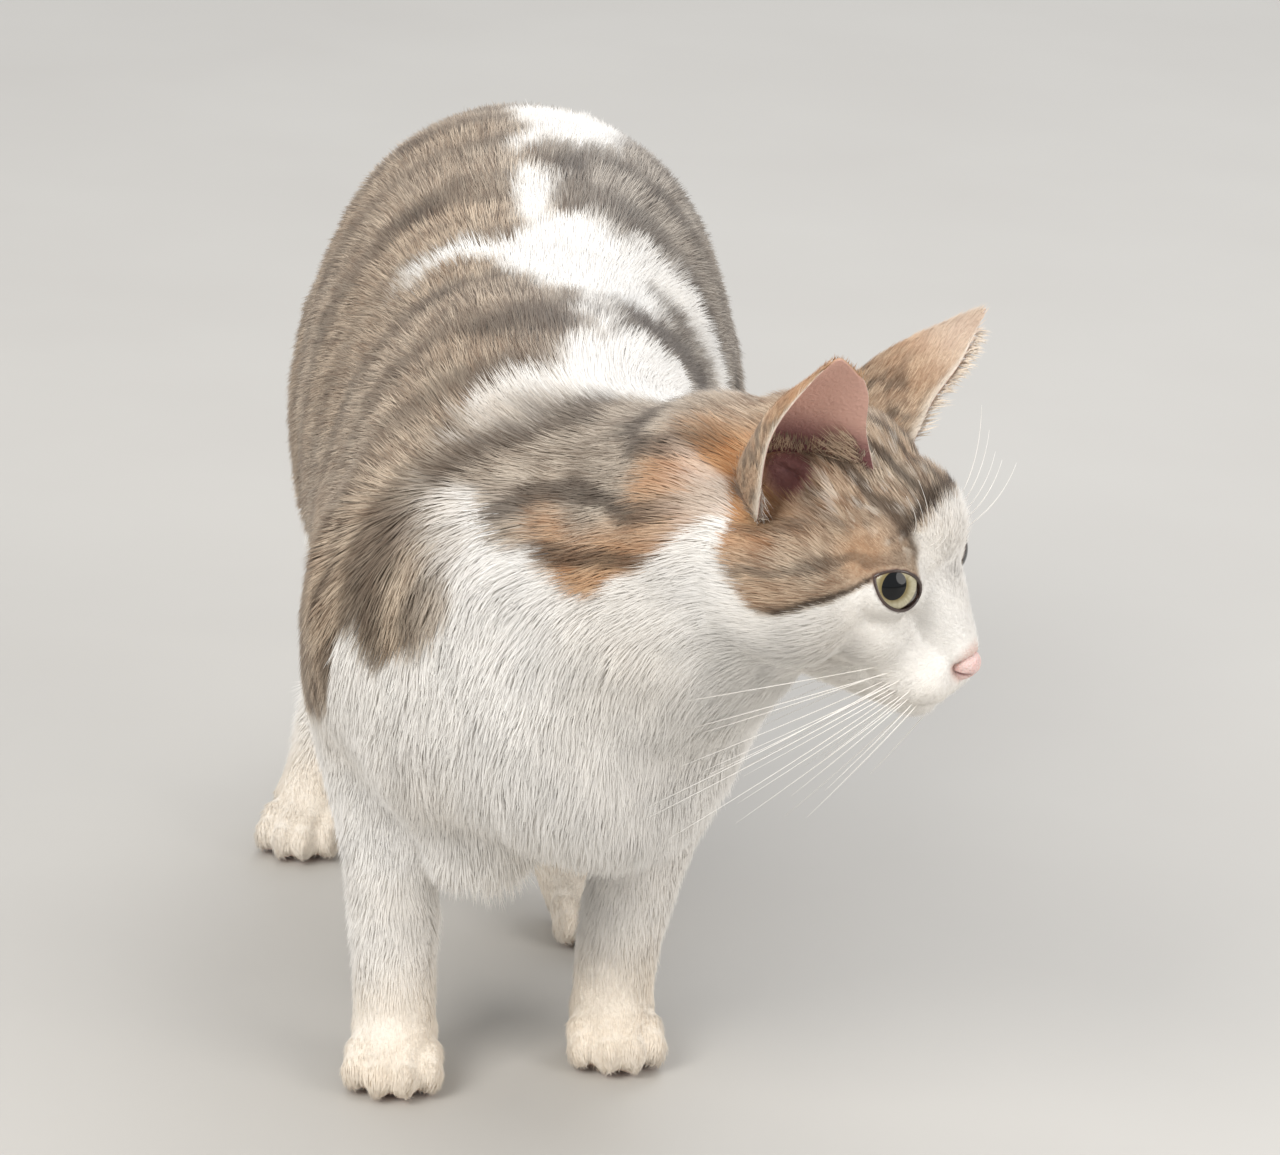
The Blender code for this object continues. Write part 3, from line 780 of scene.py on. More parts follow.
def openEye(obj, side):
    # lays the skin on the eyeball, cuts the opening, draws its edge to a clean almond and turns the edge in
    edgeWithin, softWithin = 18 * mm, 15.5 * mm
    spots = eyeView(meshTable(obj)[0], side)
    far = np.linalg.norm(spots, axis=1)
    hug = smoothStep(0.55, 0.05, lidGap(spots)) * (spots[:, 2] > 0) * smoothStep(2.6, 2.2, far)
    spots *= (1 + hug * ((eyeWay["radius"] + eyeWay["lid"]) / far - 1))[:, None]
    setPoints(obj, fromEyeView(spots, side))
    bm = bmesh.new()
    bm.from_mesh(obj.data)
    bm.faces.ensure_lookup_table()
    spots = eyeView(np.array([f.calc_center_median() for f in bm.faces]), side)
    inside = (lidGap(spots) < 0) & (spots[:, 2] > 0.1) & (np.linalg.norm(spots, axis=1) < 2.2)
    doomed = [bm.faces[i] for i in np.nonzero(inside)[0]]
    bmesh.ops.delete(bm, geom=doomed, context="FACES")
    eyeMiddle = boxMiddle("eye_left" if side > 0 else "eye_right")
    edge = [e for e in bm.edges if e.is_boundary and (e.verts[0].co - eyeMiddle).length < edgeWithin]
    ring = list({v for e in edge for v in e.verts})
    spots = eyeView(np.array([v.co for v in ring]), side)
    for v, spot in zip(ring, spots):
        dx, dy = spot[0] - eyeWay["middle"][0], spot[1] - eyeWay["middle"][1]
        turn = lidRadius(spot[0:1], spot[1:2])[0] / max(math.hypot(dx, dy), 1e-6)
        x, y = eyeWay["middle"][0] + dx * turn, eyeWay["middle"][1] + dy * turn
        ball = eyeWay["radius"] + eyeWay["lid"] * 0.8
        z = math.sqrt(max(ball * ball - x * x - y * y, 0.04))
        v.co = Vector(fromEyeView(np.array([[x, y, z]]), side)[0])
    held = set(ring)
    near = [v for v in bm.verts if v not in held and (v.co - eyeMiddle).length < softWithin]
    for _ in range(6):
        bmesh.ops.smooth_vert(bm, verts=near, factor=0.5, use_axis_x=True, use_axis_y=True, use_axis_z=True)
    turned = bmesh.ops.extrude_edge_only(bm, edges=edge)["geom"]
    lip = [v for v in turned if isinstance(v, bmesh.types.BMVert)]
    spots = eyeView(np.array([v.co for v in lip]), side)
    inner = unitRows(spots) * (eyeWay["radius"] - 0.05)
    for v, at in zip(lip, fromEyeView(inner, side)):
        v.co = Vector(at)
    bm.to_mesh(obj.data)
    bm.free()


for side in sides.values():
    openEye(skin, side)


def earSpot(name, u, t):
    # a place across, u, and up, t, the sheet of an ear
    lines = [[Vector(p) for p in (*ears[line], ears["tip"])] for line in ("front", "back", "outer")]
    a, b, c = (curveThrough(line, t) for line in lines)
    lean = Vector(ears["lean"][name]) * t
    return lean + a * (1 - u) * (1 - 2 * u) + b * (4 * u * (1 - u)) + c * (u * (2 * u - 1))


def makeEar(name):
    # a closed sheet, with what each point is: on the inside, how far up, and how far from the rim
    side = sides[name]
    bm = bmesh.new()
    inner = bm.verts.layers.float.new("earInside")
    high = bm.verts.layers.float.new("earHeight")
    middle = bm.verts.layers.float.new("earMiddle")
    outside, inside = [], []
    for k in range(ears["levels"] + 1):
        height = 1 - (1 - k / ears["levels"]) ** 1.4
        outside.append([])
        inside.append([])
        for j in range(ears["columns"] + 1):
            u = j / ears["columns"]
            t = height * (ears["top"][name] - ears["round"][name] * abs(2 * u - 1) ** 2.2)
            at = earSpot(name, u, t)
            cross = earSpot(name, u + 0.01, t) - earSpot(name, u - 0.01, t)
            inward = cross.cross(earSpot(name, u, t + 0.01) - earSpot(name, u, t - 0.01)).normalized()
            edge = min(u, 1 - u)
            thick = ears["thick"] * (1 - 0.5 * t) * (0.35 + 0.65 * min(1.0, edge * 14))
            layers = ((outside, ears["off"], 0.0), (inside, ears["off"] + thick, 1.0))
            for points, off, mark in layers:
                point = at + inward * off
                vert = bm.verts.new(headSpace @ Vector((point.x, point.y * side, point.z)))
                vert[inner], vert[high], vert[middle] = mark, t + 0.001, edge
                points[-1].append(vert)
    loops = [low + list(reversed(top)) for low, top in zip(outside, inside)]
    for lower, upper in zip(loops, loops[1:]):
        for j in range(len(lower)):
            n = (j + 1) % len(lower)
            bm.faces.new((lower[j], lower[n], upper[n], upper[j]))
    for low, top in ((outside[0], inside[0]), (outside[-1], inside[-1])):
        for j in range(ears["columns"]):
            bm.faces.new((low[j], low[j + 1], top[j + 1], top[j]))
    bmesh.ops.recalc_face_normals(bm, faces=bm.faces)
    return fromBmesh(bm, "ear")


skin = joined([skin, makeEar("right"), makeEar("left")], "skin")
finishWith(skin, "TRIANGULATE")
skin.data.shade_smooth()
print("skin with ears:", len(skin.data.polygons), "faces")


# Where each part of the skin lies, and which way its hair runs

points, normals, edges = meshTable(skin)
earHeight, earInside, earMiddle = (np.empty(len(points)) for _ in range(3))
for name, values in (("earHeight", earHeight), ("earInside", earInside), ("earMiddle", earMiddle)):
    skin.data.attributes[name].data.foreach_get("value", values)
onEar = earHeight > 0
shares = regionShares(points, edges, 60)
shares[onEar] = 0
shares[onEar, regionAt["ear"]] = 1
share = {name: shares[:, i] for i, name in enumerate(regionNames)}
bodyPoints, headPoints = toBody(points), toHead(points)
headAxes = np.array(headSpace.to_3x3().normalized())

tailLine = np.array([
    (1.1, 31.5, 24.2),
    (1.2, 36.2, 22.3),
    (1.5, 38.6, 16.8),
    (1.9, 38.9, 11.2),
    (2.4, 40.0, 6.8),
    (2.8, 42.6, 3.8),
])


def alongTail(body):
    # the tail's direction at its nearest stretch, and how far along it is, from 0 to 1
    best, way, place = np.full(len(body), 1e9), np.zeros((len(body), 3)), np.zeros(len(body))
    for k, (a, b) in enumerate(zip(tailLine, tailLine[1:])):
        t = np.clip(((body - a) @ (b - a)) / ((b - a) @ (b - a)), 0, 1)
        far = np.linalg.norm(body - a - t[:, None] * (b - a), axis=1)
        near = far < best
        best[near], way[near] = far[near], (b - a) / np.linalg.norm(b - a)
        place[near] = ((k + t) / (len(tailLine) - 1))[near]
    return way, place


def layOfCoat():
    # the way the hair runs at each point of the skin: back over the body, down the legs, away from the nose
    flank = smoothStep(0.15, 0.95, np.abs(normals[:, 0]))
    front = smoothStep(0.25, 0.8, -normals[:, 1])
    zero, one = np.zeros(len(points)), np.ones(len(points))
    lay = np.zeros_like(points)
    back = np.stack([zero, 1 - 0.9 * front, -0.5 * flank - 1.1 * front], 1)
    lay += share["trunk"][:, None] * back
    throat = smoothStep(22.0, 18.0, bodyPoints[:, 2]) * front
    overNeck, downNeck = np.array([-0.61, 0.70, -0.36]), np.array([-0.12, 0.1, -1.0])
    lay += share["neck"][:, None] * (overNeck * (1 - throat)[:, None] + downNeck * throat[:, None])
    away = unitRows(headPoints - np.array([6.4, 0, -0.7]))
    away[:, 2] -= 0.25 * smoothStep(1.5, -1.0, headPoints[:, 2])
    lay += share["head"][:, None] * (away @ headAxes.T)
    lay += share["foreleg"][:, None] * np.array([0, 0.12, -1.0])
    thigh = 0.25 + 0.5 * smoothStep(10, 20, bodyPoints[:, 2])
    lay += share["hindleg"][:, None] * np.stack([zero, thigh, -one], 1)
    lay += share["paw"][:, None] * np.stack([zero, -0.9 * one, -0.35 - 0.5 * np.abs(normals[:, 0])], 1)
    lay += share["tail"][:, None] * alongTail(bodyPoints)[0]
    upEar = np.where(headPoints[:, 1:2] > 0, [[0.1, 0.42, 1.0]], [[-0.1, -0.42, 1.0]])
    lay += share["ear"][:, None] * (unitRows(upEar) @ headAxes.T)
    lay = spread(lay, edges, 24)
    lay -= normals * (lay * normals).sum(1, keepdims=True)
    return unitRows(lay)


lay = layOfCoat()


# Markings: tabby over the back and the cap of the head, white below and in patches, ginger by the near ear

# white patches on the back in plan: x, y, half length, half width, turn of the length from x in degrees
backWhite = [
    (1.9, 10.6, 3.9, 2.5, 84),
    (5.3, 13.6, 3.2, 1.25, 30),
    (-1.9, 11.4, 2.2, 0.8, -5),
    (0.4, 15.0, 2.6, 0.85, 92),
    (2.0, 5.0, 2.3, 0.75, 84),
    (0.6, -0.4, 3.5, 1.15, 20),
    (4.4, 2.6, 4.8, 2.7, 48),
    (2.1, 24.2, 4.3, 2.2, 88),
    (0.6, 20.4, 1.9, 0.6, 60),
]
# dark bars that cut into them
backDark = [
    (-0.5, 3.7, 2.5, 1.3, -4),
    (4.9, 8.6, 3.9, 1.15, 54),
    (1.7, 17.9, 1.7, 1.2, 75),
]
# the front edge of the tabby on the near shoulder: x at each height
shoulderEdge = dict(
    height=(15.8, 16.3, 17.2, 18.5, 20.0, 22.2, 24.0, 26.0),
    x=(-5.6, -5.1, -4.2, -2.8, -2.5, -2.0, 1.0, 8.0),
)
# the lowest tabby on each flank: height at each y
flankEdge = dict(
    y=(-5.0, -3.5, -2.5, -1.5, 2.0, 10.0, 18.0, 24.0, 30.0, 36.0),
    right=(16.6, 16.4, 15.2, 13.6, 13.0, 12.6, 13.0, 13.6, 14.5, 16.0),
    left=(21.5, 21.0, 20.0, 19.0, 17.0, 13.4, 13.0, 13.2, 14.5, 16.0),
)
# the lower edge of the tabby on the near side of the neck: height at each x
neckEdge = dict(
    x=(-2.0, -1.5, -0.7, 0.4, 1.0, 1.7, 2.6, 3.5, 4.3, 5.2),
    height=(22.2, 21.1, 20.8, 20.9, 20.4, 20.6, 21.4, 22.3, 23.3, 23.8),
)
# the lower edge of the cap on the cheek: height at each x of the head
cheekEdge = dict(
    x=(-3.4, -2.6, -2.45, -1.76, -0.96, -0.18, 0.35, 1.05, 1.82, 2.3),
    height=(1.4, 0.3, -0.2, -0.85, -1.2, -1.42, -1.2, -0.45, 0.3, 1.15),
)
# half the width of the white blaze at each height of the head
blaze = dict(
    height=(1.2, 1.9, 2.66, 3.2, 3.6, 3.85, 4.1),
    half=(2.3, 2.2, 2.03, 1.8, 1.3, 0.7, 0.0),
    back=2.4,
)


def inOvals(body, ovals):
    # the deepest place in any of the ovals: positive inside, in units
    deepest = np.full(len(body), -9.0)
    for x, y, long, wide, turn in ovals:
        a = math.radians(turn)
        dx, dy = body[:, 0] - x, body[:, 1] - y
        p = (dx * math.cos(a) + dy * math.sin(a)) / long
        q = (-dx * math.sin(a) + dy * math.cos(a)) / wide
        deepest = np.maximum(deepest, (1 - np.hypot(p, q)) * wide)
    return deepest


def markings(where, amounts):
    # white, stripe, ginger and warm, each from 0 to 1, at points of the world with their region shares
    part = {name: amounts[:, i] for i, name in enumerate(regionNames)}
    body, head = toBody(where), toHead(where)
    x, y, z = body.T
    fx, fy, fz = head.T
    ragged = 0.30 * grain(body, 1.3, 3) + 0.16 * grain(body, 0.45, 4)
    drift = grain(body, 4.0, 5)
    # trunk and upper legs
    flanks = [np.interp(y, flankEdge["y"], flankEdge[side]) for side in sides]
    low = np.where(x < 0, *flanks)
    wedge = 1 - smoothStep(0.25, 0.55, np.abs(x + 6.05))
    low = low + np.where((y < 0) & (x < 0), 1.6 * wedge, 0)
    waves = 1.1 * grain(body, 5.0, 28) + 0.6 * grain(body, 1.5, 29)
    low = low + 0.9 * grain(body, 3.4, 15) + smoothStep(0.0, 5.0, y) * waves
    tabby = z - low
    edgeX = np.interp(z, shoulderEdge["height"], shoulderEdge["x"])
    tabby = np.minimum(tabby, np.where(x < 5, edgeX - x, x - 5) + np.maximum(0, y + 1.2) * 2.5)
    dark = inOvals(body, backDark)
    top = smoothStep(17.5, 20.0, z)
    snow = np.minimum(inOvals(body, backWhite), -dark) * top - 2 * (1 - top)
    edge = np.minimum(tabby, -snow) + 1.3 * ragged + 0.28 * grain(body, 0.28, 30)
    bodyWhite = 1 - smoothStep(-0.45, 0.45, edge)
    ring = y + 0.5 * drift + 0.35 * grain(body, 1.6, 6) + 0.06 * (26 - z)
    bars = smoothStep(-0.1, 0.8, np.sin(ring * 2 * np.pi / 3.7)) * (0.55 + 0.35 * grain(body, 2.5, 8))
    fineRing = ring * 2 * np.pi / 1.15 + 1.5 * drift + 0.9 * grain(body, 0.9, 19)
    bars = np.maximum(bars, 0.62 * smoothStep(0.0, 0.9, np.sin(fineRing)))
    bars = np.maximum(bars, smoothStep(-0.2, 0.6, dark + ragged) * 0.85 * top)
    spot = np.linalg.norm(body - np.array([-2.9, -1.7, 23.7]), axis=1)
    bars = np.maximum(bars, 0.9 * np.exp(-(((spot - 0.35) / 0.5) ** 2)))
    bodyWarm = smoothStep(3.5, -2.0, x) * 0.75 + 0.15 * (1 + drift)
    # neck
    nearSide = smoothStep(2.0, -1.0, (body - np.array([3.0, -3.0, 21.0])) @ np.array([0.6, 0.75, 0.1]))
    edge = np.interp(x, neckEdge["x"], neckEdge["height"]) * nearSide + 20.6 * (1 - nearSide)
    neckWhite = 1 - smoothStep(-0.3, 0.3, z - edge + ragged)
    neckWhite = np.maximum(neckWhite, smoothStep(-0.3, 0.3, snow + ragged) * smoothStep(1.2, -0.2, -y))
    streak = z - 0.39 * (x + 0.5) + 0.25 * drift + 0.18 * grain(body, 1.2, 9)
    neckBars = smoothStep(0.0, 0.85, np.sin(streak * 2 * np.pi / 1.55 - 0.6)) * 0.75
    ear = np.linalg.norm((body - np.array([5.0, -9.9, 24.6])) / np.array([2.4, 2.2, 2.2]), axis=1)
    ginger = 0.9 * smoothStep(1.6, 0.4, ear + 0.3 * ragged)
    lower = 0.7 * smoothStep(2.2, 0.6, z - edge + ragged) * smoothStep(-1.2, 1.2, x) * nearSide
    ginger = np.maximum(ginger, lower)
    # head
    cap = fz - np.interp(fx, cheekEdge["x"], cheekEdge["height"])
    wide = np.interp(fz, blaze["height"], blaze["half"])
    face = np.maximum(np.abs(fy) - wide, (blaze["back"] - fx) * 0.8)
    cap = np.where(fx > 0.5, np.minimum(cap, np.where(fz > 1.0, face, cap)), cap)
    cap = np.where(fx > 2.3, np.minimum(cap, (fz - 1.15) * 1.5), cap)
    headWhite = 1 - smoothStep(-0.16, 0.16, cap + 0.5 * ragged)
    brow = smoothStep(1.6, 2.6, fz) * smoothStep(-3.0, -0.5, fx)
    streak = (fy + 0.25 * drift + 0.2 * grain(head, 0.9, 11)) * 2 * np.pi / 1.25
    headBars = brow * smoothStep(0.1, 0.8, np.sin(streak)) * 0.8
    streak = (fz * 0.8 - fx * 0.5 + 0.3 * drift + 0.2 * grain(head, 0.6, 16)) * 2 * np.pi / 1.2
    temple = smoothStep(2.6, 1.2, fz) * smoothStep(0.2, 0.9, np.sin(streak)) * 0.55
    line = np.exp(-(((cap - 0.15) / 0.19) ** 2)) * smoothStep(-0.1, 0.5, fx) * smoothStep(2.55, 2.2, fx)
    headBars = np.maximum(np.maximum(headBars, temple), line * 1.3)
    headBars = np.maximum(headBars, 0.6 * brow * smoothStep(0.2, 0.7, grain(head, 0.26, 17)))
    headWhite = np.maximum(headWhite, 0.4 * brow * smoothStep(0.25, 0.75, grain(head, 0.26, 18)))
    patch = np.exp(-((head - np.array([1.5, -3.3, 1.7])) ** 2).sum(1))
    headGinger = np.maximum(0.55 * patch, 0.22 * smoothStep(0.8, -0.6, fz) * (fy < 0))
    headGinger = np.maximum(headGinger, 0.10 + 0.14 * grain(head, 1.1, 12))
    headGinger = np.maximum(headGinger, 0.9 * smoothStep(1.5, 0.6, ear + 0.3 * ragged))
    # ears and tail
    nearEar = fy < 0
    earGinger = np.where(
        nearEar, 0.35 + 0.4 * smoothStep(3.5, 5.5, fz), 0.15 + 0.45 * smoothStep(4.2, 6.2, fz),
    )
    earWhite = np.where(nearEar, 0.12, 0.45 * smoothStep(4.6, 7.0, fz))
    place = alongTail(body)[1]
    tailBars = smoothStep(-0.1, 0.6, np.sin(place * 2 * np.pi * 6.5 + 0.5 * drift)) * 0.9
    tailBars = np.maximum(tailBars, smoothStep(0.9, 0.95, place))
    below = part["trunk"] + part["foreleg"] + part["hindleg"] + part["paw"]
    white = below * bodyWhite + part["neck"] * neckWhite + part["head"] * headWhite + part["ear"] * earWhite
    stripe = below * bars + part["neck"] * neckBars + part["head"] * headBars + part["tail"] * tailBars
    stripe += part["ear"] * 0.7 * smoothStep(6.0, 4.2, fz) * smoothStep(-0.1, 0.5, grain(head, 0.32, 14))
    orange = part["neck"] * ginger + part["head"] * headGinger + part["ear"] * earGinger + part["tail"] * 0.1
    # white hair turns cream on the feet, and tabby turns grey on the far side
    warmWhite = np.clip(smoothStep(5.5, 1.5, z) * 0.62 + 0.15 * grain(body, 3.0, 13) + 0.05, 0, 1)
    warmTabby = below * bodyWarm + part["neck"] * 0.45 + part["head"] * 0.85
    warmTabby = warmTabby + part["tail"] * 0.5 + part["ear"]
    warm = white * warmWhite + (1 - white) * warmTabby
    return np.clip(np.stack([white, stripe, orange, warm], 1), 0, 1)


def putColour(mesh, name, values):
    layer = mesh.attributes.new(name, "FLOAT_COLOR", "POINT")
    layer.data.foreach_set("color", np.ascontiguousarray(values, np.float32).ravel())


def rimmed(marks, middle, inEar):
    # the edge of each ear is pale
    pale = (0.75 * smoothStep(0.045, 0.0, middle) * inEar)[:, None]
    return marks * (1 - pale) + np.array([1.0, 0.0, 0.0, 0.55]) * pale


coatMarks = rimmed(markings(points, shares), earMiddle, onEar)
putColour(skin.data, "coat", coatMarks)

# bare skin is pink in the ears, round the nose and on the soles, with painted shade deep in the ears and in the
# well at their roots, lined at lips and lids
off, reach = mouthDistance(headPoints)
lips = np.exp(-((off / 0.10) ** 2)) * reach * (headPoints[:, 0] > 3.6)
noseFar = np.linalg.norm(headPoints - np.array([5.85, 0, -0.95]), axis=1)
pink = np.maximum(earInside, smoothStep(0.95, 0.6, noseFar) * 0.6)
pink = np.maximum(pink, smoothStep(-0.7, -0.9, normals[:, 2]) * (bodyPoints[:, 2] < 0.5))
well = smoothStep(0.35, 0.65, earHollow(headPoints)) * (1 - onEar)
pink = np.maximum(pink, well)
# painted shade: darker low inside each ear and in the well at its root
deep = np.maximum(earInside * smoothStep(0.42, 0.10, earHeight), well * 0.9)
for side in sides.values():
    spots = eyeView(points, side)
    near = (spots[:, 2] > 0.0) & (np.linalg.norm(spots, axis=1) < 1.9)
    inner = smoothStep(0.6, 1.0, spots[:, 0]) * smoothStep(0.5, 0.1, np.abs(spots[:, 1] + 0.15))
    lips = np.maximum(lips, near * smoothStep(0.12 + 0.1 * inner, 0.04, lidGap(spots)))
putColour(skin.data, "bare", np.stack([pink, deep, lips, np.ones(len(points))], 1))
skin.data.materials.clear()
skin.data.materials.append(skinMaterial)
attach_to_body(skin, "root")
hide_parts(*[node for nodes in regions.values() for node in nodes], "ear_right", "ear_left")
print("skin is coloured")


# Eyes: a ball with a raised front, its iris and pupil painted by the angle from the line of sight

iris = dict(bulge=0.10, gazeOut=dict(right=59.0, left=14.0), gazeUp=dict(right=24.0, left=16.0))


def makeEye(name):
    side = sides[name]
    radius = eyeWay["radius"]
    bpy.ops.mesh.primitive_uv_sphere_add(segments=72, ring_count=54, radius=radius, location=(0, 0, 0))
    ball = bpy.context.object
    ball.name = ball.data.name = "eyeball_" + name
    points = meshTable(ball)[0]
    # the pole is the line of sight
    angle = np.arccos(np.clip(points[:, 2] / radius, -1, 1))
    turn = np.arctan2(points[:, 1], points[:, 0])
    off = np.sin(angle) * radius
    raised = iris["bulge"] * np.clip(1 - (off / 0.95) ** 2, 0, 1) * (points[:, 2] > 0)
    points *= (1 + raised / radius)[:, None]
    out, up = math.radians(iris["gazeOut"][name]), math.radians(iris["gazeUp"][name])
    sight = Vector((math.cos(out) * math.cos(up), side * math.sin(out) * math.cos(up), math.sin(up)))
    turned = sight.to_track_quat("Z", "Y").to_matrix().to_4x4()
    place = headSpace @ Matrix.Translation(eyeCentre(side)) @ turned
    setPoints(ball, across(place, points))
    out = np.where(points[:, 2] > 0, off, 2 * radius - off) / (2 * radius)
    look = [out, 0.5 + 0.5 * np.cos(turn), 0.5 + 0.5 * np.sin(turn), np.ones(len(out))]
    putColour(ball.data, "look", np.stack(look, 1))
    ball.data.shade_smooth()
    ball.data.materials.append(eyeMaterial)
    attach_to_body(ball, "root")
    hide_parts("eye_" + name)


def makeEyeMaterial():
    surface = dict(Coat_Weight=0.3, Coat_Roughness=0.02, Specular_IOR_Level=0.22)
    material, w, shader = newMaterial("eye", 0.08, **surface)
    out, first, second = w.marked("look").split()
    spoke = w.node("ShaderNodeCombineXYZ", {}, {0: first * 9.0, 1: second * 9.0, 2: out * 3.0})
    fibre = w.node("ShaderNodeTexNoise", {}, {"Vector": spoke, "Scale": 2.2, "Detail": 5.0})
    hazel = fibre.mixed(shade(154, 146, 116), shade(212, 205, 176))
    hazel = (out + fibre * 0.02).within(0.195, 0.27).mixed(shade(128, 115, 78), hazel)
    colour = out.within(0.34, 0.375).mixed(hazel, shade(44, 34, 28))
    # the pupil is upright and a little oval
    hole = (out + (first - 0.5) * (first - 0.5) * 0.13).within(0.195, 0.187)
    attach(hole.mixed(colour, shade(9, 10, 12)), shader, "Base Color")
    return material


eyeMaterial = makeEyeMaterial()
for name in sides:
    makeEye(name)


# Lids: a dark bead along the edge of each opening

lids = dict(thick=0.06, around=10)


def tubeMesh(paths, radii, around, closed=False):
    # many tubes at once: paths is tubes x points x 3, radii is tubes x points, and open ends are capped
    paths, radii = np.asarray(paths, float), np.asarray(radii, float)
    tubes, count = paths.shape[:2]
    if closed:
        ways = np.roll(paths, -1, 1) - np.roll(paths, 1, 1)
    else:
        ways = np.gradient(paths, axis=1)
    ways /= np.linalg.norm(ways, axis=2, keepdims=True)
    ref = np.where(np.abs(ways[..., 2:3]) < 0.9, np.array([0, 0, 1.0]), np.array([1.0, 0, 0]))
    a = np.cross(ways, ref)
    a /= np.linalg.norm(a, axis=2, keepdims=True)
    b = np.cross(ways, a)
    turns = np.arange(around) / around * 2 * np.pi
    ring = a[:, :, None] * np.cos(turns)[:, None] + b[:, :, None] * np.sin(turns)[:, None]
    verts = paths[:, :, None] + ring * radii[:, :, None, None]
    index = np.arange(tubes * count * around).reshape(tubes, count, around)
    following = np.roll(index, -1, 1) if closed else index
    low, high = (index, following) if closed else (index[:, :-1], index[:, 1:])
    quads = np.stack([low, np.roll(low, -1, 2), np.roll(high, -1, 2), high], -1).reshape(-1, 4)
    faces = [tuple(q) for q in quads.tolist()]
    if not closed:
        faces += [tuple(r[::-1]) for r in index[:, 0].tolist()] + [tuple(r) for r in index[:, -1].tolist()]
    return verts.reshape(-1, 3), faces


def meshPiece(name, verts, faces, material):
    mesh = bpy.data.meshes.new(name)
    mesh.from_pydata([tuple(v) for v in verts], [], faces)
    bm = bmesh.new()
    bm.from_mesh(mesh)
    bmesh.ops.recalc_face_normals(bm, faces=bm.faces)
    bm.to_mesh(mesh)
    bm.free()
    obj = bpy.data.objects.new(name, mesh)
    bpy.context.scene.collection.objects.link(obj)
    mesh.shade_smooth()
    mesh.materials.append(material)
    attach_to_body(obj, "root")
    return obj


rimMaterial, w, shader = newMaterial("lid_rim", 0.28, Coat_Weight=0.5, Coat_Roughness=0.15)
blotch = w.noise(500.0, 3.0)
attach(blotch.mixed(shade(38, 28, 24), shade(74, 52, 42)), shader, "Base Color")
attach(bumpFrom(w, blotch, 0.0003), shader, "Normal")

for name, side in sides.items():
    ball = eyeWay["radius"] + eyeWay["lid"] * 0.45
    outward = np.sqrt(np.maximum(ball**2 - (lidCurve**2).sum(1), 0.05))
    ring = np.concatenate([lidCurve, outward[:, None]], 1)
    path = fromEyeView(ring, side)[None]
    thick = np.full((1, len(lidCurve)), lids["thick"] * pose["unit"] * pose["headScale"])
    verts, faces = tubeMesh(path, thick, lids["around"], closed=True)
    meshPiece("lid_rim_" + name, verts, faces, rimMaterial)
print("eyes and lids are set")


# Nose leather: a rounded wedge, with nostrils and the groove between them

nose = dict(
    at=(5.78, 0.0, -1.18), size=(0.42, 0.56, 0.62), taper=0.50, nostril=(0.24, 0.33, -0.14), deep=0.22,
)
surface = dict(Coat_Weight=0.25, Coat_Roughness=0.35, Subsurface_Weight=0.15)
noseMaterial, w, shader = newMaterial("nose", 0.42, **surface)
shader.inputs["Subsurface Radius"].default_value = (0.004, 0.0015, 0.001)
shader.inputs["Subsurface Scale"].default_value = 0.5
places = w.node("ShaderNodeTexCoord", output=3)
pebble = w.node("ShaderNodeTexVoronoi", {}, {"Vector": places, "Scale": 1500.0})
blush = w.noise(260.0, 3.0)
hollow = w.marked("look").split()[0]
leather = blush.mixed(shade(226, 190, 184), shade(240, 214, 208))
# the nostrils and the groove between them are painted dark, as painted shade in them
attach(hollow.mixed(leather, shade(120, 62, 58)), shader, "Base Color")
attach(0.38 + blush * 0.15, shader, "Roughness")
attach(bumpFrom(w, pebble, 0.00035), shader, "Normal")


def makeNose():
    bpy.ops.mesh.primitive_uv_sphere_add(segments=64, ring_count=48, radius=1.0, location=(0, 0, 0))
    obj = bpy.context.object
    obj.name = obj.data.name = "nose_leather"
    p = meshTable(obj)[0]
    low = smoothStep(0.5, -1.0, p[:, 2])
    p[:, 1] *= 1 - nose["taper"] * low
    p[:, 0] -= 0.45 * low
    p[:, 0] += 0.12 * (1 - p[:, 1] ** 2)
    p *= nose["size"]
    hole = np.zeros(len(p))
    for side in sides.values():
        x, y, z = nose["nostril"]
        d = (p - np.array([x, side * y, z])) / np.array([0.4, 0.13, 0.09])
        d[:, 2] += 0.8 * d[:, 1] * side
        hole = np.maximum(hole, np.exp(-(d**2).sum(1)) * (p[:, 0] > -0.1))
    groove = np.exp(-((p[:, 1] / 0.05) ** 2)) * smoothStep(0.25, -0.1, p[:, 2]) * (p[:, 0] > 0)
    p[:, 0] -= nose["deep"] * hole + 0.05 * groove
    setPoints(obj, across(headSpace, p + np.array(nose["at"])))
    # look marks where the nostrils and the groove get painted shade
    putColour(obj.data, "look", np.stack([np.clip(hole * 1.3 + groove * 0.3, 0, 1)] * 4, 1))
    obj.data.shade_smooth()
    obj.data.materials.append(noseMaterial)
    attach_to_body(obj, "root")
    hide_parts("nose")


makeNose()


# Whiskers and the long hairs over the eyes, in mm: tapered and bent, swept back from the face

whiskers = dict(
    rows=4, each=4, thick=0.17, tip=0.04, long=(34.0, 60.0, 46.0), brows=5, browThick=0.14, browLong=24.0,
)
whiskerMaterial, w, shader = newMaterial("whisker", 0.35, Coat_Weight=0.2)
attach(w.noise(60.0).mixed(shade(238, 232, 222), shade(252, 250, 246)), shader, "Base Color")


def hairPath(root, way, droop, long, count=14):
    # root, way and droop in the head's frame; long in mm
    t = np.linspace(0, 1, count)[:, None]
    size = pose["unit"] * pose["headScale"] * 1000
    return across(headSpace, np.array(root) + (np.array(way) * t + np.array(droop) * t * t) * long / size)


